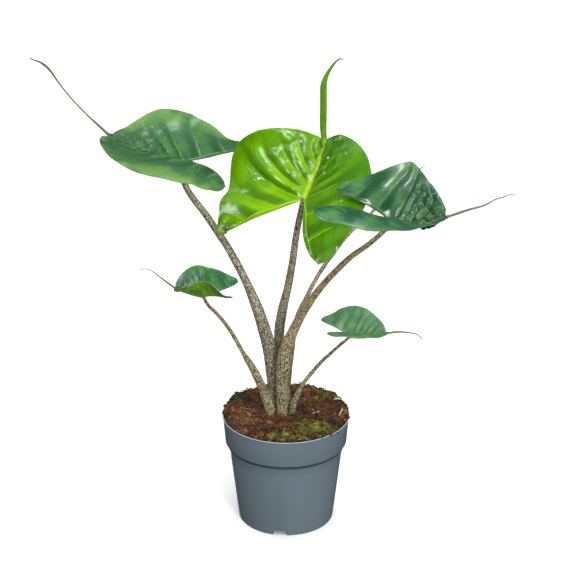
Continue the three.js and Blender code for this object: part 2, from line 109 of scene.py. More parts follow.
def ripples(x: np.ndarray, y: np.ndarray, pitch: float, seed: int) -> np.ndarray:
    """Smooth irregular relief between about -1 and 1.

    Args:
        x: first coordinate.
        y: second coordinate.
        pitch: distance between bumps.
        seed: which relief.

    Returns:
        The height at each place.
    """
    rng = np.random.default_rng(seed)
    total = np.zeros_like(x)
    for angle in rng.uniform(0, math.pi, RIPPLE_WAVES):
        wave = TURN / (pitch * rng.uniform(0.7, 1.5))
        along = x * math.cos(angle) + y * math.sin(angle)
        total += np.sin(wave * along + rng.uniform(0, ANY_TURN))
    return total / RIPPLE_SCALE


def lay_height(x: np.ndarray, y: np.ndarray) -> np.ndarray:
    """Height of the potting mix's dome at a place, in metres."""
    return MIX_TOP - MIX_DOME * (x * x + y * y) / MIX_RADIUS**2


# ---- Mesh helpers --------------------------------------------------------------------------------


def deselect() -> None:
    """Deselect every object."""
    bpy.ops.object.select_all(action="DESELECT")


def activate(piece: bpy.types.Object) -> None:
    """Make a piece the only selected object and the active one.

    Args:
        piece: the object.
    """
    deselect()
    piece.select_set(True)
    bpy.context.view_layer.objects.active = piece


def clean(piece: bpy.types.Object, distance: float, fill: bool = False) -> None:
    """Merge doubles and, where asked, close open loops and point the faces outwards.

    Args:
        piece: the mesh to clean.
        distance: how close two vertices are to be one.
        fill: whether open loops get a face.
    """
    activate(piece)
    bpy.ops.object.mode_set(mode="EDIT")
    bpy.ops.mesh.select_all(action="SELECT")
    bpy.ops.mesh.remove_doubles(threshold=distance)
    bpy.ops.mesh.dissolve_degenerate(threshold=distance)
    if fill:
        bpy.ops.mesh.fill_holes(sides=0)
        bpy.ops.mesh.normals_make_consistent(inside=False)
    bpy.ops.object.mode_set(mode="OBJECT")


def apply(piece: bpy.types.Object, kind: str, **settings: object) -> None:
    """Add a modifier with its settings and apply it.

    Args:
        piece: the mesh that gets it.
        kind: the modifier's type.
        settings: its properties, by name.
    """
    activate(piece)
    modifier = piece.modifiers.new(kind.title(), kind)
    for name, value in settings.items():
        setattr(modifier, name, value)
    bpy.ops.object.modifier_apply(modifier=modifier.name)


def formed_grid(name: str, columns: int, rows: int, place: Place) -> bpy.types.Object:
    """Add a grid and shape it: the grid's two directions run 0 to 1 and stay in its UV map.

    Args:
        name: the object's name.
        columns: faces along the first direction.
        rows: faces along the second direction.
        place: gives the points for the two directions.

    Returns:
        The shaped mesh object at the origin.
    """
    deselect()
    bpy.ops.mesh.primitive_grid_add(x_subdivisions=columns, y_subdivisions=rows, size=1.0)
    piece = bpy.context.object
    piece.name = name
    mesh = piece.data
    mesh.name = name
    flat = np.zeros(len(mesh.vertices) * 3)
    mesh.vertices.foreach_get("co", flat)
    flat = flat.reshape(-1, 3) + 0.5
    first = np.round(flat[:, 0] * columns) / columns
    second = np.round(flat[:, 1] * rows) / rows
    mesh.vertices.foreach_set("co", place(first, second).astype(np.float32).ravel())
    mesh.update()
    return piece


def set_uv(piece: bpy.types.Object, change: Callable[[np.ndarray], np.ndarray]) -> None:
    """Rewrite a piece's UV map from its present values.

    Args:
        piece: the mesh.
        change: gives the new rows of U and V for the present ones.
    """
    layer = piece.data.uv_layers.active.data
    values = np.zeros(len(layer) * 2, np.float32)
    layer.foreach_get("uv", values)
    layer.foreach_set("uv", change(values.reshape(-1, 2)).astype(np.float32).ravel())


def join(pieces: list[bpy.types.Object]) -> bpy.types.Object:
    """Join pieces into the first of them.

    Args:
        pieces: the meshes, of which the first one stays.

    Returns:
        The joined mesh.
    """
    activate(pieces[0])
    for piece in pieces:
        piece.select_set(True)
    bpy.ops.object.join()
    return bpy.context.object


def finish_piece(
    piece: bpy.types.Object, nodes: list[str], finishes: list[bpy.types.Material],
    sharp: float = 60.0,
) -> bpy.types.Object:
    """Give a piece its finishes and its body, and hide the CAD nodes that it stands for.

    Args:
        piece: the finished mesh.
        nodes: CAD nodes that it replaces.
        finishes: materials, in slot order, for a mesh that has none yet.
        sharp: degrees from which an edge is shaded sharp.

    Returns:
        The same piece.
    """
    if not piece.data.materials:
        for finish in finishes:
            piece.data.materials.append(finish)
    activate(piece)
    bpy.ops.object.shade_smooth_by_angle(angle=math.radians(sharp))
    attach(piece, ROOT)
    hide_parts(*nodes)
    log.info("%s: %d faces", piece.name, len(piece.data.polygons))
    return piece


def scattered(
    name: str, base: bpy.types.Object, spots: np.ndarray, sizes: np.ndarray, turns: np.ndarray,
    tones: np.ndarray,
) -> bpy.types.Object:
    """Copy one small mesh to many spots as one mesh, with a tone value on each copy.

    Args:
        name: the new object's name.
        base: the small mesh, removed afterwards.
        spots: place of each copy.
        sizes: scale of each copy along its three axes.
        turns: turn of each copy about X, Y and Z, in radians.
        tones: value from 0 to 1 for each copy.

    Returns:
        The new object.
    """
    corners = np.zeros(len(base.data.vertices) * 3)
    base.data.vertices.foreach_get("co", corners)
    corners = corners.reshape(-1, 3)
    faces = np.array([list(face.vertices) for face in base.data.polygons])
    points = corners[None] * sizes[:, None]
    for axis in range(3):
        one, two = (axis + 1) % 3, (axis + 2) % 3
        cos, sin = np.cos(turns[:, axis])[:, None], np.sin(turns[:, axis])[:, None]
        first, second = points[:, :, one].copy(), points[:, :, two].copy()
        points[:, :, one] = first * cos - second * sin
        points[:, :, two] = first * sin + second * cos
    points += spots[:, None]
    steps = np.arange(len(spots))[:, None, None] * len(corners)
    every_face = (faces[None] + steps).reshape(-1, faces.shape[1])
    mesh = bpy.data.meshes.new(name)
    mesh.from_pydata(points.reshape(-1, 3).tolist(), [], every_face.tolist())
    tone = mesh.attributes.new("tone", "FLOAT", "POINT")
    tone.data.foreach_set("value", np.repeat(tones, len(corners)).astype(np.float32))
    bpy.data.objects.remove(base)
    piece = bpy.data.objects.new(name, mesh)
    bpy.context.scene.collection.objects.link(piece)
    return piece


# ---- Shader helpers ------------------------------------------------------------------------------

COLOUR_A, COLOUR_B, COLOUR_OUT = 6, 7, 2
NUMBER_A, NUMBER_B = 2, 3
GRAIN_LOW, GRAIN_HIGH = 0.3, 0.7
WHITE = (1.0, 1.0, 1.0)


def times(colour: Colour, *factors: float) -> Colour:
    """Scale a colour by one factor, or by one for each channel."""
    return tuple(value * factor for value, factor in zip(colour, factors * 3))


class Shade:
    """A small helper that adds and links the nodes of one tree."""

    def __init__(self, tree: bpy.types.NodeTree) -> None:
        """Keep the tree."""
        self.tree = tree

    def link(self, source: bpy.types.NodeSocket, target: bpy.types.NodeSocket) -> None:
        """Link an output to an input."""
        self.tree.links.new(source, target)

    def put(self, value: object, target: bpy.types.NodeSocket) -> None:
        """Link a socket to an input, or give the input a plain value.

        Args:
            value: a socket or a value.
            target: the input.
        """
        if isinstance(value, bpy.types.NodeSocket):
            self.link(value, target)
        else:
            target.default_value = value

    def add(
        self, kind: str, inputs: dict[str | int, object] | None = None, **settings: object
    ) -> bpy.types.Node:
        """Add a node.

        Args:
            kind: the node's type.
            inputs: value or linked socket for each input, by name or number.
            settings: the node's own settings.

        Returns:
            The node.
        """
        node = self.tree.nodes.new(kind)
        for name, value in settings.items():
            setattr(node, name, value)
        for key, value in (inputs or {}).items():
            self.put(value, node.inputs[key])
        return node

    def math(self, operation: str, *values: object) -> bpy.types.NodeSocket:
        """Add a Math node on values or sockets."""
        node = self.add("ShaderNodeMath", dict(enumerate(values)), operation=operation)
        return node.outputs[0]

    def ramp(
        self, value: object, low: float, high: float, start: float = 0, end: float = 1
    ) -> bpy.types.NodeSocket:
        """Map a value smoothly from one range to another."""
        inputs = {"Value": value, "From Min": low, "From Max": high, "To Min": start, "To Max": end}
        return self.add("ShaderNodeMapRange", inputs, interpolation_type="SMOOTHSTEP").outputs[0]

    def mix(self, factor: object, first: object, second: object) -> bpy.types.NodeSocket:
        """Mix two colours.

        Args:
            factor: share of the second colour, a value or a socket.
            first: a colour or a socket.
            second: a colour or a socket.

        Returns:
            The mixed colour's socket.
        """
        node = self.add("ShaderNodeMix", {"Factor": factor}, data_type="RGBA")
        for key, value in ((COLOUR_A, first), (COLOUR_B, second)):
            linked = isinstance(value, bpy.types.NodeSocket)
            self.put(value if linked else (*value, 1.0), node.inputs[key])
        return node.outputs[COLOUR_OUT]

    def stretched(self, vector: bpy.types.NodeSocket, scale: Point) -> bpy.types.NodeSocket:
        """Scale a vector along its axes."""
        return self.add("ShaderNodeMapping", {"Vector": vector, "Scale": scale}).outputs[0]

    def noise(
        self, vector: object, scale: float, detail: float = 3.0, rough: float = 0.55
    ) -> bpy.types.NodeSocket:
        """Add a noise texture and give its value."""
        inputs = {"Vector": vector, "Scale": scale, "Detail": detail, "Roughness": rough}
        return self.add("ShaderNodeTexNoise", inputs).outputs["Fac"]


def new_group(
    name: str, inputs: dict[str, float], outputs: list[str]
) -> tuple[bpy.types.NodeTree, Shade, bpy.types.Node, bpy.types.Node]:
    """Start a shader node group.

    Args:
        name: the group's name.
        inputs: number inputs with their defaults. Vector is a vector input.
        outputs: names of its number outputs.

    Returns:
        The group, its helper, its input node and its output node.
    """
    group = bpy.data.node_groups.new(name, "ShaderNodeTree")
    for key, value in inputs.items():
        kind = "NodeSocketVector" if key == "Vector" else "NodeSocketFloat"
        socket = group.interface.new_socket(name=key, in_out="INPUT", socket_type=kind)
        if kind == "NodeSocketFloat":
            socket.default_value = value
    for key in outputs:
        group.interface.new_socket(name=key, in_out="OUTPUT", socket_type="NodeSocketFloat")
    shade = Shade(group)
    return group, shade, shade.add("NodeGroupInput"), shade.add("NodeGroupOutput")


def mottling_group() -> bpy.types.NodeTree:
    """Snakeskin mottling: crowded dark flecks that break up along the stem.

    Returns:
        The group.
    """
    group, shade, source, out = new_group(
        "Mottling", {"Vector": 0.0, "Scale": 1.0, "Cover": 0.5}, ["Mask", "Height"]
    )
    stretch = shade.stretched(source.outputs["Vector"], (1, 1, 0.7))
    vector = shade.add("ShaderNodeVectorMath", {0: stretch}, operation="SCALE")
    shade.link(source.outputs["Scale"], vector.inputs["Scale"])
    coarse = shade.noise(vector.outputs[0], 330, 4.0, 0.62)
    fine = shade.noise(vector.outputs[0], 900, 3.0, 0.6)
    coarse = shade.math("MULTIPLY", coarse, 0.68)
    blend = shade.math("ADD", coarse, shade.math("MULTIPLY", fine, 0.32))
    level = shade.math("ADD", blend, shade.math("MULTIPLY", source.outputs["Cover"], 0.3))
    shade.link(shade.ramp(level, 0.62, 0.69), out.inputs["Mask"])
    shade.link(blend, out.inputs["Height"])
    return group


def vein_group() -> bpy.types.NodeTree:
    """Leaf veins from a UV map: U counts the side veins, V runs from the midrib to the margin.

    Returns:
        The group.
    """
    group, shade, source, out = new_group(
        "LeafVeins", {"Vector": 0.0, "Width": 0.05, "Branches": 1.0},
        ["Vein", "Rib", "Relief", "Out", "PaintedCreaseShade"],
    )
    split = shade.add("ShaderNodeSeparateXYZ", {0: source.outputs["Vector"]})
    count, margin = split.outputs[0], split.outputs[1]
    wobble = shade.math("SUBTRACT", shade.noise(source.outputs["Vector"], 5.0, 2.0), 0.5)
    count = shade.math("ADD", count, shade.math("MULTIPLY", wobble, 0.14))
    off = shade.math("PINGPONG", count, 0.5)
    # Side veins, thinner towards the margin
    taper = shade.math("MULTIPLY", source.outputs["Width"], shade.math("SUBTRACT", 1.2, margin))
    near = shade.math("DIVIDE", off, shade.math("MAXIMUM", taper, 0.004))
    lobe = shade.math("SUBTRACT", 5.0, shade.math("MINIMUM", count, 5.0))
    start = shade.math("MULTIPLY", lobe, 0.075)
    past_start = shade.math("SUBTRACT", margin, start)
    beyond = shade.ramp(past_start, -0.02, 0.01)
    vein = shade.math("MULTIPLY", shade.ramp(near, 1.0, 0.3), shade.ramp(margin, 0.95, 0.25))
    vein = shade.math("MULTIPLY", vein, beyond)
    # Midrib, and the two basal ribs that run down the lobes
    basal = shade.ramp(shade.math("ABSOLUTE", past_start), 0.02, 0.006)
    basal = shade.math("MULTIPLY", basal, shade.ramp(lobe, 4.6, 2.5))
    midrib = shade.math("MULTIPLY", shade.ramp(margin, 0.05, 0.018), shade.ramp(lobe, 0.3, 0.0))
    rib = shade.math("MAXIMUM", midrib, basal)
    # Fine branches between the side veins
    streak = shade.math("PINGPONG", shade.math("MULTIPLY", count, 9.0), 0.5)
    streak = shade.math("MULTIPLY", shade.ramp(streak, 0.3, 0.05), shade.ramp(margin, 0.35, 0.8))
    slant = shade.math("MULTIPLY", margin, 22.0)
    slant = shade.math("ADD", slant, shade.math("MULTIPLY", off, 13.0))
    slant = shade.math("ADD", slant, shade.math("MULTIPLY", wobble, 3.0))
    branch = shade.ramp(shade.math("PINGPONG", slant, 0.5), 0.18, 0.02)
    branch = shade.math("MAXIMUM", branch, streak)
    branch = shade.math("MULTIPLY", branch, source.outputs["Branches"])
    relief = shade.math("MULTIPLY", branch, -0.35)
    relief = shade.math("SUBTRACT", relief, shade.math("MAXIMUM", vein, rib))
    # Painted shade: a dark band along one side of each vein, where the quilted blade dips
    phase = shade.math("FRACT", count)
    crease = shade.math("MULTIPLY", shade.ramp(phase, 0.03, 0.16), shade.ramp(phase, 0.62, 0.3))
    crease = shade.math("MULTIPLY", crease, shade.ramp(margin, 0.03, 0.14))
    crease = shade.math("MULTIPLY", crease, shade.ramp(margin, 0.85, 0.4))
    results = {"Vein": vein, "Rib": rib, "Relief": relief, "Out": margin, "PaintedCreaseShade": crease}
    for key, value in results.items():
        shade.link(value, out.inputs[key])
    return group


def grain_group() -> bpy.types.NodeTree:
    """Fine grain and broad patches on Object coordinates, for any surface.

    Returns:
        The group.
    """
    group, shade, source, out = new_group(
        "Grain", {"Vector": 0.0, "Fine": 900.0, "Broad": 20.0}, ["Grain", "Patch"]
    )
    vector = source.outputs["Vector"]
    for key, name, detail in (("Fine", "Grain", 2.0), ("Broad", "Patch", 3.0)):
        noise = shade.add("ShaderNodeTexNoise", {"Vector": vector, "Detail": detail})
        shade.link(source.outputs[key], noise.inputs["Scale"])
        shade.link(noise.outputs["Fac"], out.inputs[name])
    return group


class Effect(Enum):
    """Shared shader effects, by the name of their node group."""

    MOTTLING = "Mottling"
    VEINS = "LeafVeins"
    GRAIN = "Grain"


def build_effects() -> None:
    """Build the shared node groups once."""
    mottling_group()
    vein_group()
    grain_group()


def start_material(name: str) -> tuple[bpy.types.Material, Shade, bpy.types.Node]:
    """Start a material.

    Args:
        name: the material's name.

    Returns:
        The material, its helper and its Principled node.
    """
    material = bpy.data.materials.new(name)
    material.use_nodes = True
    return material, Shade(material.node_tree), material.node_tree.nodes["Principled BSDF"]


def effect(
    shade: Shade, kind: Effect, vector: bpy.types.NodeSocket, **values: float
) -> bpy.types.Node:
    """Place a shared effect in a material.

    Args:
        shade: the material's helper.
        kind: which effect.
        vector: coordinates that it reads.
        values: its number inputs, by name.

    Returns:
        The group's node.
    """
    node = shade.add("ShaderNodeGroup", node_tree=bpy.data.node_groups[kind.value])
    shade.link(vector, node.inputs["Vector"])
    for key, value in values.items():
        node.inputs[key].default_value = value
    return node


def roughen(
    shade: Shade, skin: bpy.types.Node, grain: bpy.types.Node, low: float, high: float
) -> None:
    """Vary a skin's roughness between two values with its fine grain."""
    rough = shade.ramp(grain.outputs["Grain"], GRAIN_LOW, GRAIN_HIGH, low, high)
    shade.link(rough, skin.inputs["Roughness"])


def emboss(
    shade: Shade, skin: bpy.types.Node, height: object, strength: float, distance: float
) -> None:
    """Give a skin the fine relief of a height through a Bump node."""
    inputs = {"Height": height, "Strength": strength, "Distance": distance}
    shade.link(shade.add("ShaderNodeBump", inputs).outputs["Normal"], skin.inputs["Normal"])


# ---- Finishes ------------------------------------------------------------------------------------


@dataclass(frozen=True)
class LeafFinish:
    """Skin of one leaf: its colours, gloss and veins."""

    name: str
    deep: Colour
    bright: Colour
    margin: Colour
    vein: Colour
    under: Colour
    patch: tuple[float, float]
    roughness: float
    vein_width: float
    rib_strength: float
    vein_strength: float
    # Tint of the right half; on the centre leaf partly painted shade
    right: Colour = WHITE
    margin_start: float = 0.88
    # Strength of the painted shade beside the veins
    crease: float = 0.45
    specular: float = 0.8
    # Strength of the fine branch relief and of the painted highlight streaks
    streaks: float = 0.4
    coat: float = 0.3
    coat_roughness: float = 0.05
    under_specular: float = 0.35

    def ground(
        self, shade: Shade, uv: bpy.types.NodeSocket, patch: bpy.types.NodeSocket
    ) -> bpy.types.NodeSocket:
        """Deep green with brighter patches, tinted on the right half: on the centre leaf partly its
        own darker green and partly painted shade.

        Args:
            shade: the material's helper.
            uv: the blade's UV coordinates.
            patch: broad patches.

        Returns:
            The colour's socket.
        """
        broad = shade.noise(shade.stretched(uv, (1.0, 2.2, 1.0)), 0.9, 3.0)
        broad = shade.math("MULTIPLY", broad, 0.7)
        broad = shade.math("ADD", broad, shade.math("MULTIPLY", patch, 0.3))
        colour = shade.mix(shade.ramp(broad, *self.patch), self.deep, self.bright)
        # Right-half tint: on the centre leaf it darkens that half, partly painted shade
        side = shade.add("ShaderNodeAttribute", attribute_name="side").outputs["Fac"]
        tinted = {"Factor": 1.0, COLOUR_A: colour, COLOUR_B: shade.mix(side, WHITE, self.right)}
        product = shade.add("ShaderNodeMix", tinted, data_type="RGBA", blend_type="MULTIPLY")
        return product.outputs[COLOUR_OUT]

    def edged(
        self, shade: Shade, colour: bpy.types.NodeSocket, uv: bpy.types.NodeSocket,
        out: bpy.types.NodeSocket, patch: bpy.types.NodeSocket,
    ) -> bpy.types.NodeSocket:
        """Add the broken pale margin and the fine pale streaks near it, which are painted
        highlights.

        Args:
            shade: the material's helper.
            colour: the colour so far.
            uv: the blade's UV coordinates.
            out: share of the way to the margin.
            patch: broad patches.

        Returns:
            The new colour's socket.
        """
        broken = shade.ramp(patch, 0.4, 0.58, 0.1, 0.7)
        edge = shade.math("MULTIPLY", shade.ramp(out, self.margin_start, 1.0), broken)
        colour = shade.mix(edge, colour, self.margin)
        # Painted highlight: fine pale streaks that stand in for glints on the ridges near the
        # margin
        painted_streaks = shade.noise(shade.stretched(uv, (3.0, 55.0, 1.0)), 1.0, 2.0)
        painted_streaks = shade.ramp(painted_streaks, 0.56, 0.66, 0.0, 0.42 * self.streaks)
        zone = shade.math("MULTIPLY", shade.ramp(out, 0.3, 0.85), shade.ramp(patch, 0.42, 0.6))
        pale = tuple(0.5 * value + 0.34 for value in self.margin)
        return shade.mix(shade.math("MULTIPLY", painted_streaks, zone), colour, pale)

    def top(self) -> bpy.types.Material:
        """Glossy upper skin with pale veins, brighter patches and a pale margin.

        Returns:
            The material.
        """
        material, shade, skin = start_material(f"leaf_{self.name}_top")
        place = shade.add("ShaderNodeTexCoord")
        uv = place.outputs["UV"]
        veins = effect(shade, Effect.VEINS, uv, Width=self.vein_width, Branches=self.streaks)
        grain = effect(shade, Effect.GRAIN, place.outputs["Object"], Fine=1500.0, Broad=24.0)
        patch = grain.outputs["Patch"]
        colour = self.ground(shade, uv, patch)
        # Painted shade in the quilted hollows beside the veins
        fold = shade.math("MULTIPLY", veins.outputs["PaintedCreaseShade"], self.crease)
        colour = shade.mix(fold, colour, times(self.deep, 0.38))
        colour = self.edged(shade, colour, uv, veins.outputs["Out"], patch)
        side_veins = shade.math("MULTIPLY", veins.outputs["Vein"], self.vein_strength)
        ribs = shade.math("MULTIPLY", veins.outputs["Rib"], self.rib_strength)
        line = shade.math("MAXIMUM", side_veins, ribs)
        shade.link(shade.mix(line, colour, self.vein), skin.inputs["Base Color"])
        roughen(shade, skin, grain, self.roughness - 0.06, self.roughness + 0.1)
        fine = shade.math("MULTIPLY", grain.outputs["Grain"], 0.15)
        emboss(shade, skin, shade.math("ADD", veins.outputs["Relief"], fine), 0.5, 0.0012)
        skin.inputs["Specular IOR Level"].default_value = self.specular
        skin.inputs["Coat Weight"].default_value = self.coat
        skin.inputs["Coat Roughness"].default_value = self.coat_roughness
        return material

    def underside(self) -> bpy.types.Material:
        """Duller underside with raised veins.

        Returns:
            The material.
        """
        material, shade, skin = start_material(f"leaf_{self.name}_under")
        place = shade.add("ShaderNodeTexCoord")
        veins = effect(shade, Effect.VEINS, place.outputs["UV"], Width=self.vein_width * 1.3)
        grain = effect(shade, Effect.GRAIN, place.outputs["Object"], Fine=1200.0, Broad=30.0)
        patches = shade.ramp(grain.outputs["Patch"], 0.4, 0.62)
        colour = shade.mix(patches, times(self.under, 0.55), self.under)
        line = shade.math("MULTIPLY", veins.outputs["Vein"], 0.25)
        shade.link(shade.mix(line, colour, self.margin), skin.inputs["Base Color"])
        roughen(shade, skin, grain, 0.42, 0.6)
        raised = shade.math("MULTIPLY", veins.outputs["Relief"], -1.0)
        emboss(shade, skin, raised, 0.6, 0.0012)
        skin.inputs["Specular IOR Level"].default_value = self.under_specular
        return material


@dataclass(frozen=True)
class TailFinish:
    """Skin of a rib and tail, from its colour at the petiole to its colour at the tip."""

    name: str
    rib: Colour
    tail: Colour
    tip: Colour
    specular: float = 0.25

    def skin(self) -> bpy.types.Material:
        """Satin skin that changes colour along the UV map's second direction.

        Returns:
            The material.
        """
        material, shade, skin = start_material(f"tail_{self.name}")
        place = shade.add("ShaderNodeTexCoord")
        along = shade.add("ShaderNodeSeparateXYZ", {0: place.outputs["UV"]}).outputs[1]
        grain = effect(shade, Effect.GRAIN, place.outputs["Object"], Fine=1400.0, Broad=150.0)
        colour = shade.mix(shade.ramp(along, 0.2, 0.5), self.rib, self.tail)
        colour = shade.mix(shade.ramp(along, 0.8, 0.95), colour, self.tip)
        worn = shade.math("MULTIPLY", shade.ramp(grain.outputs["Patch"], 0.5, 0.65), 0.5)
        shade.link(shade.mix(worn, colour, times(self.tail, 0.55)), skin.inputs["Base Color"])
        roughen(shade, skin, grain, 0.3, 0.5)
        emboss(shade, skin, grain.outputs["Grain"], 0.3, 0.0004)
        skin.inputs["Specular IOR Level"].default_value = self.specular
        return material


@dataclass(frozen=True)
class PetioleFinish:
    """Mottled skin of a petiole, with its own colours low down and higher up."""

    name: str
    ground: Colour
    fleck: Colour
    upper_ground: Colour
    upper_fleck: Colour
    scale: float
    cover: float
    change: tuple[float, float] = (0.2, 0.36)

    def skin(self) -> bpy.types.Material:
        """Satin skin with mottling that thins out and changes colour with height.

        Returns:
            The material.
        """
        material, shade, skin = start_material(f"petiole_{self.name}")
        spot = shade.add("ShaderNodeTexCoord").outputs["Object"]
        low = effect(shade, Effect.MOTTLING, spot, Scale=self.scale, Cover=self.cover)
        high = effect(shade, Effect.MOTTLING, spot, Scale=self.scale, Cover=self.cover - 0.04)
        grain = effect(shade, Effect.GRAIN, spot, Fine=1600.0, Broad=60.0)
        height = shade.add("ShaderNodeSeparateXYZ", {0: spot}).outputs[2]
        rise = shade.ramp(height, *self.change)
        masks = {"Factor": rise, NUMBER_A: low.outputs["Mask"], NUMBER_B: high.outputs["Mask"]}
        mask = shade.add("ShaderNodeMix", masks).outputs[0]
        ground = shade.mix(rise, self.ground, self.upper_ground)
        warm = times(self.ground, 0.75, 0.6, 0.45)
        ground = shade.mix(shade.ramp(grain.outputs["Patch"], 0.5, 0.72), ground, warm)
        fleck = shade.mix(rise, self.fleck, self.upper_fleck)
        shade.link(shade.mix(mask, ground, fleck), skin.inputs["Base Color"])
        roughen(shade, skin, grain, 0.42, 0.62)
        emboss(shade, skin, low.outputs["Height"], 0.35, 0.0008)
        return material


@dataclass(frozen=True)
class PotFinish:
    """Moulded grey plastic with a dusty bloom, a painted highlight along the lip and a painted
    shadow line under its band.
    """

    body: Colour = (0.126, 0.167, 0.195)
    bloom: Colour = (0.15, 0.19, 0.218)
    # Colour of the painted highlight along the top of the rim
    lip: Colour = (0.4, 0.45, 0.48)
    # Height of the band's foot, where the painted shadow line stops
    step: float = 0.1128
    specular: float = 0.2

    def skin(self) -> bpy.types.Material:
        """Satin plastic with fine moulding grain.

        Returns:
            The material.
        """
        material, shade, skin = start_material("pot_plastic")
        spot = shade.add("ShaderNodeTexCoord").outputs["Object"]
        grain = effect(shade, Effect.GRAIN, spot, Fine=700.0, Broad=14.0)
        dust = shade.math("MULTIPLY", shade.ramp(grain.outputs["Patch"], 0.45, 0.7), 0.35)
        height = shade.add("ShaderNodeSeparateXYZ", {0: spot}).outputs[2]
        colour = shade.mix(dust, self.body, self.bloom)
        # Painted highlight: a pale line along the top of the rim
        rim = shade.ramp(height, POT_HEIGHT - 0.0009, POT_HEIGHT - 0.0003)
        colour = shade.mix(rim, colour, self.lip)
        # Painted shadow: a dark line on the wall just under the band's foot
        fade = shade.ramp(height, self.step - 0.0075, self.step - 0.003)
        stop = shade.ramp(height, self.step + 0.0002, self.step - 0.0002)
        under = shade.math("MULTIPLY", fade, stop)
        shade.link(shade.mix(under, colour, times(self.body, 0.3)), skin.inputs["Base Color"])
        roughen(shade, skin, grain, 0.42, 0.55)
        emboss(shade, skin, grain.outputs["Grain"], 0.12, 0.0003)
        skin.inputs["Specular IOR Level"].default_value = self.specular
        return material


@dataclass(frozen=True)
class LitterFinish:
    """Rough plant matter whose shade follows each piece's tone."""

    name: str
    dark: Colour
    middle: Colour
    light: Colour
    roughness: float = 0.9
    specular: float = 0.25

    def skin(self) -> bpy.types.Material:
        """Matte stuff with a different shade for each crumb, strand or tuft.

        Returns:
            The material.
        """
        material, shade, skin = start_material(self.name)
        spot = shade.add("ShaderNodeTexCoord").outputs["Object"]
        grain = effect(shade, Effect.GRAIN, spot, Fine=1100.0, Broad=90.0)
        tone = shade.add("ShaderNodeAttribute", attribute_name="tone").outputs["Fac"]
        tone = shade.math("MULTIPLY", tone, 0.6)
        level = shade.math("ADD", tone, shade.math("MULTIPLY", grain.outputs["Patch"], 0.35))
        region = shade.ramp(shade.noise(spot, 26.0, 2.0), 0.35, 0.65)
        level = shade.math("ADD", level, shade.math("MULTIPLY", region, 0.25))
        colour = shade.mix(shade.ramp(level, 0.25, 0.6), self.dark, self.middle)
        colour = shade.mix(shade.ramp(level, 0.68, 1.0), colour, self.light)
        shade.link(colour, skin.inputs["Base Color"])
        emboss(shade, skin, grain.outputs["Grain"], 0.6, 0.0008)
        skin.inputs["Roughness"].default_value = self.roughness
        skin.inputs["Specular IOR Level"].default_value = self.specular
        return material


# ---- Pot -----------------------------------------------------------------------------------------


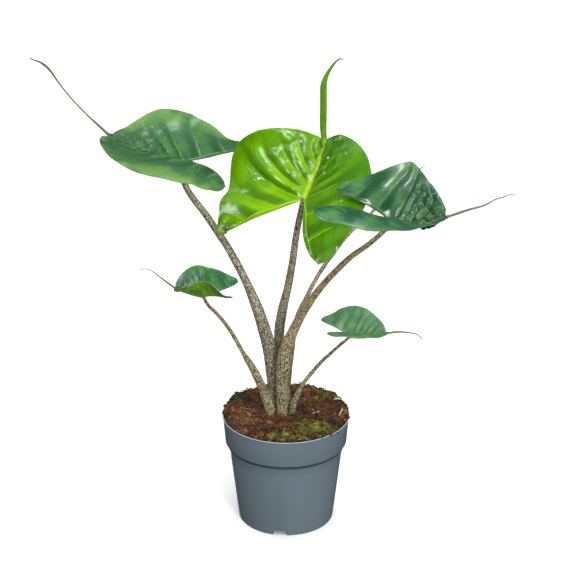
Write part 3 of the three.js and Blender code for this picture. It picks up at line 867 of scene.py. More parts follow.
@dataclass
class NurseryPot:
    """Thin-walled pot with a band under its rim and drainage channels under its floor."""

    wall: float = 1.2
    floor: float = 2.4
    band_foot: float = 113.0
    band_foot_radius: float = 81.4
    shoulder: float = 96.0
    shoulder_radius: float = 74.6
    foot_radius: float = 64.0
    ledge: float = 2.0
    lip: float = 0.7
    lip_height: float = 2.4
    sides: int = 128
    edge: float = 0.3
    edge_angle: float = 50.0
    channels: int = 3
    channel_width: float = 19.0
    channel_roof: float = 16.0
    channel_height: float = 7.0
    channel_turn: float = -97.0
    channel_start: float = 26.0
    channel_past: float = 20.0
    ridge_inset: float = 2.2
    ridge_start: float = 30.0
    finish: PotFinish = field(default_factory=PotFinish)

    def outline(self) -> list[tuple[float, float]]:
        """Closed section of the wall, from the floor's middle round to it.

        Returns:
            Radius and height of each point, in millimetres.
        """
        height, rim = POT_HEIGHT / MM, POT_RADIUS / MM
        lip_foot = height - self.lip_height
        foot, shoulder, shoulder_radius = self.foot_radius, self.shoulder, self.shoulder_radius
        band, band_radius = self.band_foot, self.band_foot_radius
        outside = [
            (foot - 1.0, 0.0), (foot - 0.2, 0.3), (foot + 0.1, 1.2),
            (shoulder_radius - 0.3, shoulder - 6.0), (shoulder_radius, shoulder - 1.0),
            (shoulder_radius + 0.9, shoulder + 3.5), (shoulder_radius + 3.0, shoulder + 10.0),
            (band_radius - self.ledge - 0.4, band - 1.2), (band_radius - self.ledge, band - 0.3),
            (band_radius - 0.3, band - 0.3), (band_radius, band + 0.3),
            (rim - self.lip, lip_foot), (rim - 0.15, lip_foot + 0.5), (rim, lip_foot + 1.2),
            (rim - 0.1, height - 0.3), (rim - 0.5, height),
        ]
        inside = [
            (rim - self.wall, height - 0.1), (band_radius - self.wall, band),
            (shoulder_radius - self.wall, shoulder), (foot - 0.6, self.floor + 1.0),
            (foot - 2.0, self.floor),
        ]
        return [(0.0, 0.0), *outside, *inside, (0.0, self.floor)]

    def spun(self) -> bpy.types.Object:
        """Spin the section about the pot's axis.

        Returns:
            The closed shell.
        """
        deselect()
        bpy.ops.mesh.primitive_plane_add(size=0.01)
        pot = bpy.context.object
        pot.name = "nursery_pot_shell"
        bpy.ops.object.mode_set(mode="EDIT")
        bpy.ops.mesh.delete(type="VERT")
        bpy.ops.object.mode_set(mode="OBJECT")
        points = [(radius * MM, 0.0, height * MM) for radius, height in self.outline()]
        pot.data.from_pydata(points, [(k, k + 1) for k in range(len(points) - 1)], [])
        bpy.ops.object.mode_set(mode="EDIT")
        bpy.ops.mesh.select_all(action="SELECT")
        bpy.ops.mesh.spin(steps=self.sides, angle=TURN, center=(0, 0, 0), axis=(0, 0, 1))
        bpy.ops.mesh.select_all(action="SELECT")
        bpy.ops.mesh.remove_doubles(threshold=1e-5)
        bpy.ops.mesh.normals_make_consistent(inside=False)
        bpy.ops.object.mode_set(mode="OBJECT")
        return pot

    def cutter(self, degrees: float) -> bpy.types.Object:
        """A trapezoid bar that cuts one drainage channel out through the foot of the wall.

        Args:
            degrees: direction of the channel about the pot's axis.

        Returns:
            The bar.
        """
        deselect()
        reach = self.foot_radius + self.channel_past - self.channel_start
        middle = (self.channel_start + reach / 2) * MM
        bpy.ops.mesh.primitive_cube_add(size=1.0, location=(middle, 0, 0))
        bar = bpy.context.object
        low = 2 * self.channel_width - self.channel_roof
        bar.dimensions = (reach * MM, low * MM, 2 * self.channel_height * MM)
        bpy.ops.object.transform_apply(location=True, rotation=False, scale=True)
        narrow = self.channel_roof / low
        for vertex in bar.data.vertices:
            if vertex.co.z > 0:
                vertex.co.y *= narrow
        bar.rotation_euler.z = math.radians(degrees)
        bpy.ops.object.transform_apply(location=True, rotation=True, scale=True)
        return bar

    def ridge(self, degrees: float) -> bpy.types.Object:
        """The raised floor over one channel.

        Args:
            degrees: direction of the channel about the pot's axis.

        Returns:
            The block that is added to the shell.
        """
        bar = self.cutter(degrees)
        grow = 1.0 + 2 * self.wall / self.channel_width
        turn = math.radians(degrees)
        along = Vector((math.cos(turn), math.sin(turn), 0))
        for vertex in bar.data.vertices:
            reach = min(vertex.co.dot(along), (self.foot_radius - self.ridge_inset) * MM)
            side = (vertex.co - along * vertex.co.dot(along)) * grow
            side.z = (self.floor if vertex.co.z < 0 else self.channel_height + self.wall) * MM
            if reach < self.ridge_start * MM:
                reach -= self.wall * MM
            vertex.co = along * reach + side
        return bar

    def build(self) -> bpy.types.Object:
        """Cut the channels out of the spun shell, and raise the floor over them.

        Returns:
            The finished pot.
        """
        pot = self.spun()
        for k in range(self.channels):
            degrees = self.channel_turn + 360 * k / self.channels
            for operation, shape in (("UNION", self.ridge), ("DIFFERENCE", self.cutter)):
                block = shape(degrees)
                apply(pot, "BOOLEAN", operation=operation, object=block, solver="EXACT")
                bpy.data.objects.remove(block)
        apply(
            pot, "BEVEL", width=self.edge * MM, segments=2, limit_method="ANGLE",
            angle_limit=math.radians(self.edge_angle),
        )
        return finish_piece(pot, ["nursery_pot"], [self.finish.skin()], 35.0)


# ---- Potting mix ---------------------------------------------------------------------------------


@dataclass
class PottingMix:
    """Heaped fibrous mix: a lumpy body, crumbs, and loose strands."""

    crumbs: int = 4200
    strands: int = 2200
    seed: int = 11
    gap: float = 1.7
    strand_lift: float = 0.0015
    body_finish: LitterFinish = LitterFinish(
        "mix_body", (0.014, 0.007, 0.005), (0.06, 0.024, 0.015), (0.14, 0.06, 0.035)
    )
    crumb_finish: LitterFinish = LitterFinish(
        "mix_crumbs", (0.012, 0.006, 0.004), (0.11, 0.041, 0.014), (0.36, 0.15, 0.05)
    )
    strand_finish: LitterFinish = LitterFinish(
        "mix_strands", (0.02, 0.008, 0.004), (0.185, 0.07, 0.02), (0.62, 0.36, 0.14)
    )

    def heap(self, x: np.ndarray, y: np.ndarray) -> np.ndarray:
        """Height of the lumpy surface, higher along the back and the sides.

        Args:
            x: first coordinate, in metres.
            y: second coordinate, in metres.

        Returns:
            The heights in metres.
        """
        radius = np.hypot(x, y)
        clods = ripples(x, y, 0.017, 3) * 0.0015
        lumps = clods + ripples(x, y, 0.007, 4) * 0.0008
        edge = smooth(radius, 0.045, 0.078) * (0.0012 + 0.006 * smooth(y, -0.06, 0.0))
        edge = edge * (1 - 0.75 * smooth(radius, 0.0795, 0.0855))
        return lay_height(x, y) + lumps * (1 - smooth(radius, 0.081, 0.0835)) + edge

    def body(self) -> bpy.types.Object:
        """A closed plug that fills the pot, with a lumpy top.

        Returns:
            The finished plug.
        """
        inner = (POT_RADIUS / MM - self.gap) * MM
        rings = (0.7, 0.78, 0.84, 0.92, 1)
        reaches = (1, 0.94, 0.86, 0.73, 0)
        depths = (MIX_TOP, 0.116, 0.096, 0.012, 0.012)

        def place(around: np.ndarray, down: np.ndarray) -> np.ndarray:
            """Lay the surface from the middle out, then down the pot's wall to its floor.

            Args:
                around: share of a turn.
                down: share of the way from the top's middle to the floor's middle.

            Returns:
                The points in metres.
            """
            angle = TURN * around
            radius = inner * np.interp(down, (0, *rings), (0, *reaches))
            x, y = radius * np.cos(angle), radius * np.sin(angle)
            fall = np.interp(down, rings, depths)
            return np.stack([x, y, np.where(down > rings[0], fall, self.heap(x, y))], -1)

        body = formed_grid("mix_body", 240, 100, place)
        clean(body, 1e-5, fill=True)
        return finish_piece(body, ["potting_mix"], [self.body_finish.skin()])

    def spots(self, count: int, rng: np.random.Generator, reach: float) -> np.ndarray:
        """Random places on the surface.

        Args:
            count: how many.
            rng: the random numbers.
            reach: largest distance from the middle.

        Returns:
            One point in each row.
        """
        radius = reach * np.sqrt(rng.uniform(0, 1, count))
        angle = rng.uniform(0, TURN, count)
        radius = radius * (1 + 0.024 * smooth(np.sin(angle), -0.5, 0.0))
        x, y = radius * np.cos(angle), radius * np.sin(angle)
        return np.stack([x, y, self.heap(x, y)], -1)

    def crumb_pieces(self) -> bpy.types.Object:
        """Angular crumbs of peat and bark, crowded over the surface.

        Returns:
            The finished crumbs as one piece.
        """
        rng = np.random.default_rng(self.seed)
        deselect()
        bpy.ops.mesh.primitive_ico_sphere_add(subdivisions=1, radius=1.0)
        base = bpy.context.object
        for vertex in base.data.vertices:
            vertex.co *= 1 + 0.4 * rng.uniform(-1, 1)
        spots = self.spots(self.crumbs, rng, MIX_RADIUS - 0.0005)
        size = rng.gamma(3.0, 0.42, self.crumbs)[:, None] * MM
        sizes = np.clip(size, 0.0006, 0.0034) * rng.uniform(0.55, 1.3, (self.crumbs, 3))
        turns = rng.uniform(0, ANY_TURN, (self.crumbs, 3))
        tones = rng.beta(1.6, 2.0, self.crumbs)
        crumbs = scattered("mix_crumbs", base, spots, sizes, turns, tones)
        skins = [self.crumb_finish.skin()]
        return finish_piece(crumbs, ["potting_mix"], skins, 30.0)

    def strand_pieces(self) -> bpy.types.Object:
        """Short curved coir strands lying on the crumbs.

        Returns:
            The finished strands as one piece.
        """
        rng = np.random.default_rng(self.seed + 1)

        def place(around: np.ndarray, along: np.ndarray) -> np.ndarray:
            """Shape one strand: pointed at its ends and bowed two ways.

            Args:
                around: share of a turn.
                along: share of the strand's length.

            Returns:
                The points, in units of the strand's girth and half length.
            """
            angle, long = TURN * around, 2 * along - 1
            thin, bow = 1 - long**4, 1 - long * long
            x = thin * np.cos(angle) + 6.0 * bow
            y = thin * np.sin(angle) + 4.0 * long * bow
            return np.stack([x, y, long], -1)

        base = formed_grid("strand", 4, 6, place)
        clean(base, 1e-5)
        apply(base, "TRIANGULATE")
        spots = self.spots(self.strands, rng, MIX_RADIUS - 0.004)
        spots[:, 2] += self.strand_lift
        thick = rng.uniform(0.14, 0.42, self.strands) * MM
        sizes = np.stack([thick, thick, rng.uniform(2.0, 5.5, self.strands) * MM], -1)
        turns = np.stack([
            math.pi / 2 + rng.normal(0, 0.25, self.strands), rng.normal(0, 0.3, self.strands),
            rng.uniform(0, ANY_TURN, self.strands),
        ], -1)
        tones = rng.beta(1.5, 1.6, self.strands)
        strands = scattered("mix_strands", base, spots, sizes, turns, tones)
        skins = [self.strand_finish.skin()]
        return finish_piece(strands, ["potting_mix"], skins, 40.0)

    def build(self) -> None:
        """Build the body, the crumbs and the strands."""
        self.body()
        self.crumb_pieces()
        self.strand_pieces()


@dataclass
class Moss:
    """A cushion of moss made of short crowded tufts."""

    name: str
    tufts: int
    finish: LitterFinish
    seed: int
    widen: tuple[float, float] = (1.2, 1.15)
    rise: float = 0.0026

    def build(self) -> bpy.types.Object:
        """Crowd leaning tufts over the cushion's footprint, highest in its middle.

        Returns:
            The finished cushion.
        """
        low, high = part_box(self.name)
        centre, half = (low + high) / 2, (high - low) / 2
        rng = np.random.default_rng(self.seed)
        deselect()
        bpy.ops.mesh.primitive_ico_sphere_add(subdivisions=1, radius=1.0)
        base = bpy.context.object
        for vertex in base.data.vertices:
            ragged = 1 + 0.45 * rng.uniform(-1, 1)
            tall = 1 + 0.25 * rng.uniform(-1, 1)
            vertex.co = (vertex.co.x * ragged, vertex.co.y * ragged, vertex.co.z * tall)
        angle = rng.uniform(0, ANY_TURN, self.tufts)
        bays = 0.16 * np.sin(3 * angle + self.seed) + 0.12 * np.sin(7 * angle + 2 * self.seed)
        radius = np.sqrt(rng.uniform(0, 1, self.tufts)) * (1.0 + bays)
        radius = radius * rng.uniform(0.8, 1.05, self.tufts)
        x = centre.x + self.widen[0] * half.x * radius * np.cos(angle)
        y = centre.y + self.widen[1] * half.y * radius * np.sin(angle)
        rise = self.rise * (1 - radius**2) + 0.0012 + 0.0013 * ripples(x, y, 0.009, self.seed)
        spots = np.stack([x, y, PottingMix().heap(x, y) + rise], -1)
        sizes = rng.uniform(0.6, 1.5, (self.tufts, 1)) * MM * rng.uniform(0.6, 1.2, (self.tufts, 3))
        turns = rng.uniform(-0.6, 0.6, (self.tufts, 3))
        drift = 0.3 + 0.35 * ripples(x, y, 0.012, self.seed + 5)
        tones = np.clip(drift + rng.normal(0, 0.25, self.tufts), 0, 1)
        moss = scattered(f"{self.name}_tufts", base, spots, sizes, turns, tones)
        return finish_piece(moss, [self.name], [self.finish.skin()], 35.0)


@dataclass
class WoodSliver:
    """A split sliver of pale wood lying on the mix."""

    name: str
    finish: bpy.types.Material
    thick: float = 0.0007
    lift: float = 0.0026

    def build(self) -> bpy.types.Object:
        """Taper and fray a bar along the longest side of its CAD node.

        Returns:
            The finished sliver.
        """
        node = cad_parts[self.name]
        corners = np.array([tuple(vertex.co) for vertex in node.data.vertices])
        middle = corners.mean(0)
        spread = corners[:, :2] - middle[:2]
        along = np.linalg.svd(spread)[2][0]
        across = np.array([-along[1], along[0]])
        half = np.abs(spread @ along).max()
        wide = np.abs(spread @ across).max()

        def place(around: np.ndarray, length: np.ndarray) -> np.ndarray:
            """Lay the tapered bar on the mix.

            Args:
                around: share of a turn.
                length: share of the sliver's length.

            Returns:
                The points in metres.
            """
            angle = TURN * around
            share = 2 * length - 1
            thin = np.clip(1 - np.abs(share) ** 2.5, 0.02, 1) * (1 + 0.2 * np.sin(19 * length))
            side = wide * thin * np.cos(angle) + 0.0006 * np.sin(7 * length)
            up = self.thick * thin * np.sin(angle) * (1 + 0.3 * np.cos(3 * angle))
            up = up + 0.0012 * length
            flat = middle[:2] + (share * half)[:, None] * along + side[:, None] * across
            ground = PottingMix().heap(flat[:, 0], flat[:, 1])
            return np.column_stack([flat, ground + self.lift + up])

        sliver = formed_grid(f"{self.name}_wood", 12, 20, place)
        clean(sliver, 1e-6, fill=True)
        return finish_piece(sliver, [self.name], [self.finish], 40.0)


# ---- Stems and blades ----------------------------------------------------------------------------


FINE_STEPS = 400
SOFTENING = 5


@dataclass(frozen=True)
class Route:
    """A centre line given as points, with a girth table of share and diameter pairs."""

    points: tuple[Point, ...]
    girth: tuple[tuple[float, float], ...]

    def rings(self, count: int) -> tuple[np.ndarray, np.ndarray, np.ndarray, np.ndarray]:
        """Even stations along the route.

        Args:
            count: number of stations.

        Returns:
            Centres, two directions across, and the shares of the way.
        """
        fine = catmull(np.array(self.points) * MM, np.linspace(0, 1, FINE_STEPS))
        lengths = np.concatenate([[0], np.cumsum(np.linalg.norm(np.diff(fine, axis=0), axis=1))])
        shares = np.linspace(0, 1, count)
        walked = shares * lengths[-1]
        centres = np.stack([np.interp(walked, lengths, fine[:, axis]) for axis in range(3)], -1)
        tangents = np.gradient(centres, axis=0)
        tangents /= np.linalg.norm(tangents, axis=1, keepdims=True)
        across = np.zeros_like(tangents)
        seed = np.array([0.0, -1.0, 0.0])
        for k, tangent in enumerate(tangents):
            seed = seed - tangent * seed.dot(tangent)
            seed /= np.linalg.norm(seed)
            across[k] = seed
        return centres, across, np.cross(tangents, across), shares

    def stem(
        self, name: str, sides: int, count: int, relief: Place | None = None
    ) -> bpy.types.Object:
        """A closed round stem along the route.

        Args:
            name: the object's name.
            sides: faces around it.
            count: faces along it.
            relief: change of radius in metres for angle and share.

        Returns:
            The stem.
        """
        centres, front, side, shares = self.rings(count + 1)
        table = np.array(self.girth)
        radii = np.interp(shares, table[:, 0], table[:, 1]) * MM / 2
        padded = np.pad(radii, SOFTENING // 2, mode="edge")
        soft = np.convolve(padded, np.ones(SOFTENING) / SOFTENING, mode="valid")

        def place(around: np.ndarray, along: np.ndarray) -> np.ndarray:
            """Lay the stem's skin about its centre line.

            Args:
                around: share of a turn.
                along: share of the way.

            Returns:
                The points in metres.
            """
            ring = np.round(along * count).astype(int)
            angle = TURN * around
            radius = soft[ring] + (relief(angle, along) if relief else 0.0)
            forward = front[ring] * (radius * np.cos(angle))[:, None]
            return centres[ring] + forward + side[ring] * (radius * np.sin(angle))[:, None]

        stem = formed_grid(name, sides, count, place)
        clean(stem, 1e-6, fill=True)
        return stem


@dataclass(frozen=True)
class Half:
    """How one half of a blade is folded, curled and shaped, with its small relief."""

    fold: tuple[float, float, float]
    curl: tuple[float, float, float]
    width: float
    lobe: float
    spread: float
    quilt: float
    pucker: float
    wave: float
    pouch: float = 0.0
    kinks: tuple[tuple[float, float, float], ...] = ()


SINUS_EDGE = np.array([
    (-0.92, 0.82), (-0.82, 0.66), (-0.6, 0.46), (-0.36, 0.27), (-0.15, 0.11), (0, 0),
])
MARGIN = np.array([
    (-0.92, 0.82), (-0.84, 0.98), (-0.62, 1.09), (-0.32, 1.16), (0, 1.18), (0.34, 1.13),
    (0.66, 0.97), (0.9, 0.71), (1.03, 0.4), (1.04, 0.16), (1, 0.03),
])
LOBE_SHARE = 0.42
LOBE_REACH = 0.9
VEIN_ROWS = (-0.3, -0.15, 0.0, 0.14, 0.28, 0.42, 0.5, 0.585, 0.675, 0.77, 0.88, 1.0)
VEIN_SWEEP = 0.15
SLOPE_STEP = 0.004
SLOPE_INSET = 0.03
RIB_SHARES = (LOBE_SHARE + 0.005, 0.52, 0.64, 0.76, 0.88, 0.96)
BLADE_THICKNESS = 0.8


@dataclass(frozen=True)
class Leaf:
    """One leaf: where its blade meets the petiole, its turn, its routes and its finishes."""

    name: str
    at: Point
    length: float
    heading: float
    pitch: float
    roll: float
    arch: tuple[float, float]
    left: Half
    right: Half
    petiole: Route
    tail: Route
    finish: LeafFinish
    tail_finish: TailFinish
    petiole_finish: PetioleFinish
    rib: float
    sheath: float
    sheath_turn: float
    seed: int
    tail_groove: float = 0.0
    knot: float = 1.5
    rows: int = 120
    columns: int = 40

    @property
    def blade_slot(self) -> str:
        """A name for the blade's kind: the centre leaf is the young one."""
        return "blade_young" if self.name == "centre" else "blade_dark"

    def blended(self, values: tuple[float, float, float], x: np.ndarray) -> np.ndarray:
        """Blend three values along the blade.

        Args:
            values: what holds at the lobe's end, at the petiole and at the tail.
            x: place along the midrib, in midrib lengths.

        Returns:
            The value at each place.
        """
        lobe, petiole, tail = values
        share = smooth(np.abs(x) / np.where(x < 0, LOBE_REACH, 1.0), 0.0, 1.0)
        return petiole + (np.where(x < 0, lobe, tail) - petiole) * share

    def flat(self, half: Half, row: np.ndarray, out: np.ndarray) -> tuple[np.ndarray, np.ndarray]:
        """Flat place of a point of a half blade.

        Args:
            half: the half.
            row: share of the way from the lobe's end to the tail.
            out: share of the way from the midrib or the sinus to the margin.

        Returns:
            Place along the midrib and distance from it, in midrib lengths.
        """
        sinus = catmull(SINUS_EDGE, row / LOBE_SHARE)
        spine = np.stack([(row - LOBE_SHARE) / (1 - LOBE_SHARE), np.zeros_like(row)], -1)
        inner = np.where((row < LOBE_SHARE)[..., None], sinus, spine)
        place = inner + (catmull(MARGIN, row) - inner) * out[..., None]
        x, reach = place[..., 0], place[..., 1]
        reach = reach * half.width * (1 + half.spread * np.maximum(-x, 0))
        return np.where(x < 0, x * half.lobe, x), reach

    def local(self, half: Half, side: int, row: np.ndarray, out: np.ndarray) -> np.ndarray:
        """Point of the folded and curled blade before it is turned.

        Args:
            half: the half.
            side: 1 for the left half and -1 for the right one.
            row: share of the way from the lobe's end to the tail.
            out: share of the way to the margin.

        Returns:
            The points in metres.
        """
        x, reach = self.flat(half, row, out)
        arch = np.radians(np.where(x > 0, *self.arch))
        lean = arch * x
        fold = np.radians(self.blended(half.fold, x))
        curl = np.radians(self.blended(half.curl, x))
        curl = np.where(np.abs(curl) < 1e-4, 1e-4, curl)
        outward = (np.sin(fold + curl * reach) - np.sin(fold)) / curl
        rise = (np.cos(fold) - np.cos(fold + curl * reach)) / curl
        points = [
            np.sin(lean) / arch - np.sin(lean) * rise, side * outward,
            (1 - np.cos(lean)) / arch + np.cos(lean) * rise,
        ]
        return np.stack(points, -1) * self.length * MM

    def placed(self, local: np.ndarray) -> np.ndarray:
        """Turn local points by roll, pitch and heading and move them to the petiole.

        Args:
            local: the points before they are turned.

        Returns:
            The points in the shared frame.
        """
        cos, sin = np.cos, np.sin
        heading, pitch, roll = np.radians([self.heading, self.pitch, self.roll])
        about_x = np.array([[1, 0, 0], [0, cos(roll), -sin(roll)], [0, sin(roll), cos(roll)]])
        about_y = np.array([[cos(pitch), 0, -sin(pitch)], [0, 1, 0], [sin(pitch), 0, cos(pitch)]])
        about_z = np.array([
            [cos(heading), -sin(heading), 0], [sin(heading), cos(heading), 0], [0, 0, 1],
        ])
        return local @ (about_z @ about_y @ about_x).T + np.array(self.at) * MM

    def vein_count(self, row: np.ndarray, out: np.ndarray) -> np.ndarray:
        """Number that is whole on each side vein: they sweep towards the tail on their way out."""
        return np.interp(row - VEIN_SWEEP * out**1.3, VEIN_ROWS, np.arange(len(VEIN_ROWS)))

    def relief(self, half: Half, row: np.ndarray, out: np.ndarray, seed: int) -> np.ndarray:
        """Height of quilting, puckers, waves, pouch and kinks over the smooth blade.

        Args:
            half: the half.
            row: share of the way from the lobe's end to the tail.
            out: share of the way to the margin.
            seed: which relief.

        Returns:
            The heights in metres.
        """
        x, reach = self.flat(half, row, out)
        y = reach / half.width
        between = np.abs(np.sin(math.pi * self.vein_count(row, out))) ** 0.7 - 0.5
        drift = 0.8 + 0.35 * ripples(x, y, 0.9, seed + 7)
        inner = smooth(out, 0.0, 0.2) * (1 - 0.8 * smooth(out, 0.5, 1.0))
        quilt = half.quilt * between * drift * inner
        bend = x + 0.09 * ripples(y, x, 0.31, seed + 9)
        turn = y + 0.07 * ripples(x, y, 0.23, seed + 11)
        bumps = ripples(bend, turn, 0.27, seed) + 0.55 * ripples(turn, bend, 0.15, seed + 1)
        zone = hump(x, 0.6, 0.36) * hump(y, 0.2, 0.36) * smooth(out, 0.0, 0.06)
        pucker = half.pucker * bumps * zone
        margin = smooth(out, 0.5, 1.0) * smooth(row, 0.0, 0.06) * (1 - smooth(row, 0.9, 0.99))
        wave = half.wave * ripples(row * 3.0, out * 0.4, 0.5, seed + 2) * margin
        pouch = -half.pouch * hump(x, 0.62, 0.26) * hump(y, 0.22, 0.16) * smooth(out, 0.0, 0.08)
        total = quilt + pucker + wave + pouch
        for centre, width, height in half.kinks:
            total = total + height * hump(x, centre, width) * out**1.5
        return total * MM

    def half_grid(self, half: Half, side: int) -> bpy.types.Object:
        """One half of the blade as a shaped grid, with vein counts in its UV map.

        Args:
            half: the half.
            side: 1 for the left half and -1 for the right one.

        Returns:
            The half as an open sheet.
        """
        seed = self.seed + (0 if side > 0 else 50)

        def surface(row: np.ndarray, out: np.ndarray) -> np.ndarray:
            """The smooth blade in its place."""
            return self.placed(self.local(half, side, row, out))

        def place(row: np.ndarray, out: np.ndarray) -> np.ndarray:
            """Move the smooth blade along its normal by its relief.

            Args:
                row: share of the way from the lobe's end to the tail.
                out: share of the way to the margin.

            Returns:
                The points in metres.
            """
            inside = np.clip(row, SLOPE_INSET, 1 - SLOPE_INSET)
            spread = np.clip(out, SLOPE_INSET, 1 - SLOPE_INSET)
            along = surface(inside + SLOPE_STEP, spread) - surface(inside - SLOPE_STEP, spread)
            outward = surface(inside, spread + SLOPE_STEP) - surface(inside, spread - SLOPE_STEP)
            normal = np.cross(along, outward) * side
            normal /= np.maximum(np.linalg.norm(normal, axis=1, keepdims=True), 1e-12)
            return surface(row, out) + normal * self.relief(half, row, out, seed)[:, None]

        grid = formed_grid(f"half_{self.name}_{side}", self.rows, self.columns, place)
        mark = grid.data.attributes.new("side", "FLOAT", "POINT")
        right = np.full(len(grid.data.vertices), 0.5 - 0.5 * side, np.float32)
        mark.data.foreach_set("value", right)
        set_uv(grid, lambda uv: np.stack([self.vein_count(uv[:, 0], uv[:, 1]), uv[:, 1]], -1))
        if side < 0:
            grid.data.flip_normals()
        return grid

    def blade(self) -> bpy.types.Object:
        """Join the two halves along the midrib and give the sheet its thickness.

        Returns:
            The finished blade.
        """
        blade = join([self.half_grid(self.left, 1), self.half_grid(self.right, -1)])
        blade.name = f"leaf_{self.name}"
        clean(blade, 4e-6)
        finishes = [self.finish.top(), self.finish.underside()]
        for finish in finishes:
            blade.data.materials.append(finish)
        apply(
            blade, "SOLIDIFY", thickness=BLADE_THICKNESS * MM, offset=-1.0,
            material_offset=1, material_offset_rim=0,
        )
        return finish_piece(blade, [f"blade_{self.name}"], finishes, 75.0)

    def rib_and_tail(self) -> bpy.types.Object:
        """The midrib's round underside, which runs on into the tail.

        Returns:
            The finished rib and tail.
        """
        shares = np.array(RIB_SHARES)
        spine = self.local(self.left, 1, shares, np.zeros_like(shares)) / MM
        spine[:, 2] -= np.interp(shares, (LOBE_SHARE, 1.0), (0.3 * self.rib, 0.6))
        under = self.placed(spine * MM) / MM
        points = tuple(tuple(point) for point in under) + self.tail.points
        fine = catmull(np.array(points), np.linspace(0, 1, FINE_STEPS // 2))
        steps = np.concatenate([[0], np.cumsum(np.linalg.norm(np.diff(fine, axis=0), axis=1))])
        last = (len(steps) - 1) * (len(shares) - 1) / (len(points) - 1)
        turn = steps[int(last)] / steps[-1]
        ribs = (
            (0.0, self.rib * 0.8), (0.2 * turn, self.rib * 0.75),
            (turn * 0.96, self.tail.girth[0][1]),
        )
        tails = tuple((turn + (1 - turn) * share, girth) for share, girth in self.tail.girth)

        def groove(angle: np.ndarray, along: np.ndarray) -> np.ndarray:
            """Relief of the skin: a lumpy knot at the tail's foot and a groove down the tail.

            Args:
                angle: angle about the stem.
                along: share of the way.

            Returns:
                Change of radius in metres.
            """
            begun = smooth(along, turn + 0.05, turn + 0.15)
            depth = self.tail_groove * begun * (1 - smooth(along, 0.85, 0.97))
            round_x, round_y = 0.6 * np.cos(angle), 0.6 * np.sin(angle)
            lumps = 1.0 + 0.8 * ripples(round_x, along * 9 + round_y, 0.5, self.seed)
            knot = self.knot * lumps * hump(along, turn, 0.035)
            return (knot - depth * (hump(np.cos(angle - 0.3), 1.0, 0.12) - 0.15)) * MM

        tail = Route(points, ribs + tails).stem(f"rib_and_tail_{self.name}", 16, 110, groove)
        skins = [self.tail_finish.skin()]
        return finish_piece(tail, [f"blade_{self.name}"], skins)

    def stalk(self) -> bpy.types.Object:
        """The petiole, with the two edges of its open sheath standing up lower down.

        Returns:
            The finished petiole.
        """
        turn = math.radians(self.sheath_turn)

        def wings(angle: np.ndarray, along: np.ndarray) -> np.ndarray:
            """Relief of the skin: the sheath's two edges, its hollow, and slight lumps.

            Args:
                angle: angle about the stem.
                along: share of the way.

            Returns:
                Change of radius in metres.
            """
            off = np.angle(np.exp(1j * (angle - turn)))
            fade = 1 - smooth(along, self.sheath - 0.06, self.sheath)
            edges = hump(off, 0.34, 0.13) + 0.8 * hump(off, -0.34, 0.13)
            round_x, round_y = 0.3 * np.cos(angle), 0.3 * np.sin(angle)
            lumps = 0.15 * ripples(round_x, along * 4 + round_y, 0.3, self.seed)
            return (fade * (0.9 * edges - 0.7 * hump(off, 0.0, 0.2)) + lumps) * MM

        stalk = self.petiole.stem(f"stalk_{self.name}", 40, 160, wings)
        skins = [self.petiole_finish.skin()]
        return finish_piece(stalk, [f"petiole_{self.name}"], skins)

    def build(self) -> None:
        """Build the blade, its rib and tail, and the petiole."""
        self.blade()
        self.rib_and_tail()
        self.stalk()


# ---- The leaves ----------------------------------------------------------------------------------

OLIVE_SKIN = PetioleFinish(
    "olive", ground=(0.39, 0.36, 0.23), fleck=(0.024, 0.018, 0.012),
    upper_ground=(0.44, 0.38, 0.24), upper_fleck=(0.025, 0.02, 0.013), scale=1.9, cover=0.5,
)
GREY_SKIN = PetioleFinish(
    "grey", ground=(0.47, 0.42, 0.28), fleck=(0.012, 0.01, 0.008), upper_ground=(0.42, 0.38, 0.24),
    upper_fleck=(0.02, 0.017, 0.012), scale=1.9, cover=0.54,
)
TAN_SKIN = PetioleFinish(
    "tan", ground=(0.54, 0.46, 0.27), fleck=(0.02, 0.014, 0.009), upper_ground=(0.48, 0.37, 0.19),
    upper_fleck=(0.03, 0.02, 0.01), scale=1.9, cover=0.53,
)
GREEN_SKIN = PetioleFinish(
    "green", ground=(0.42, 0.38, 0.22), fleck=(0.026, 0.02, 0.012), upper_ground=(0.3, 0.2, 0.12),
    upper_fleck=(0.045, 0.03, 0.02), scale=1.7, cover=0.49,
)

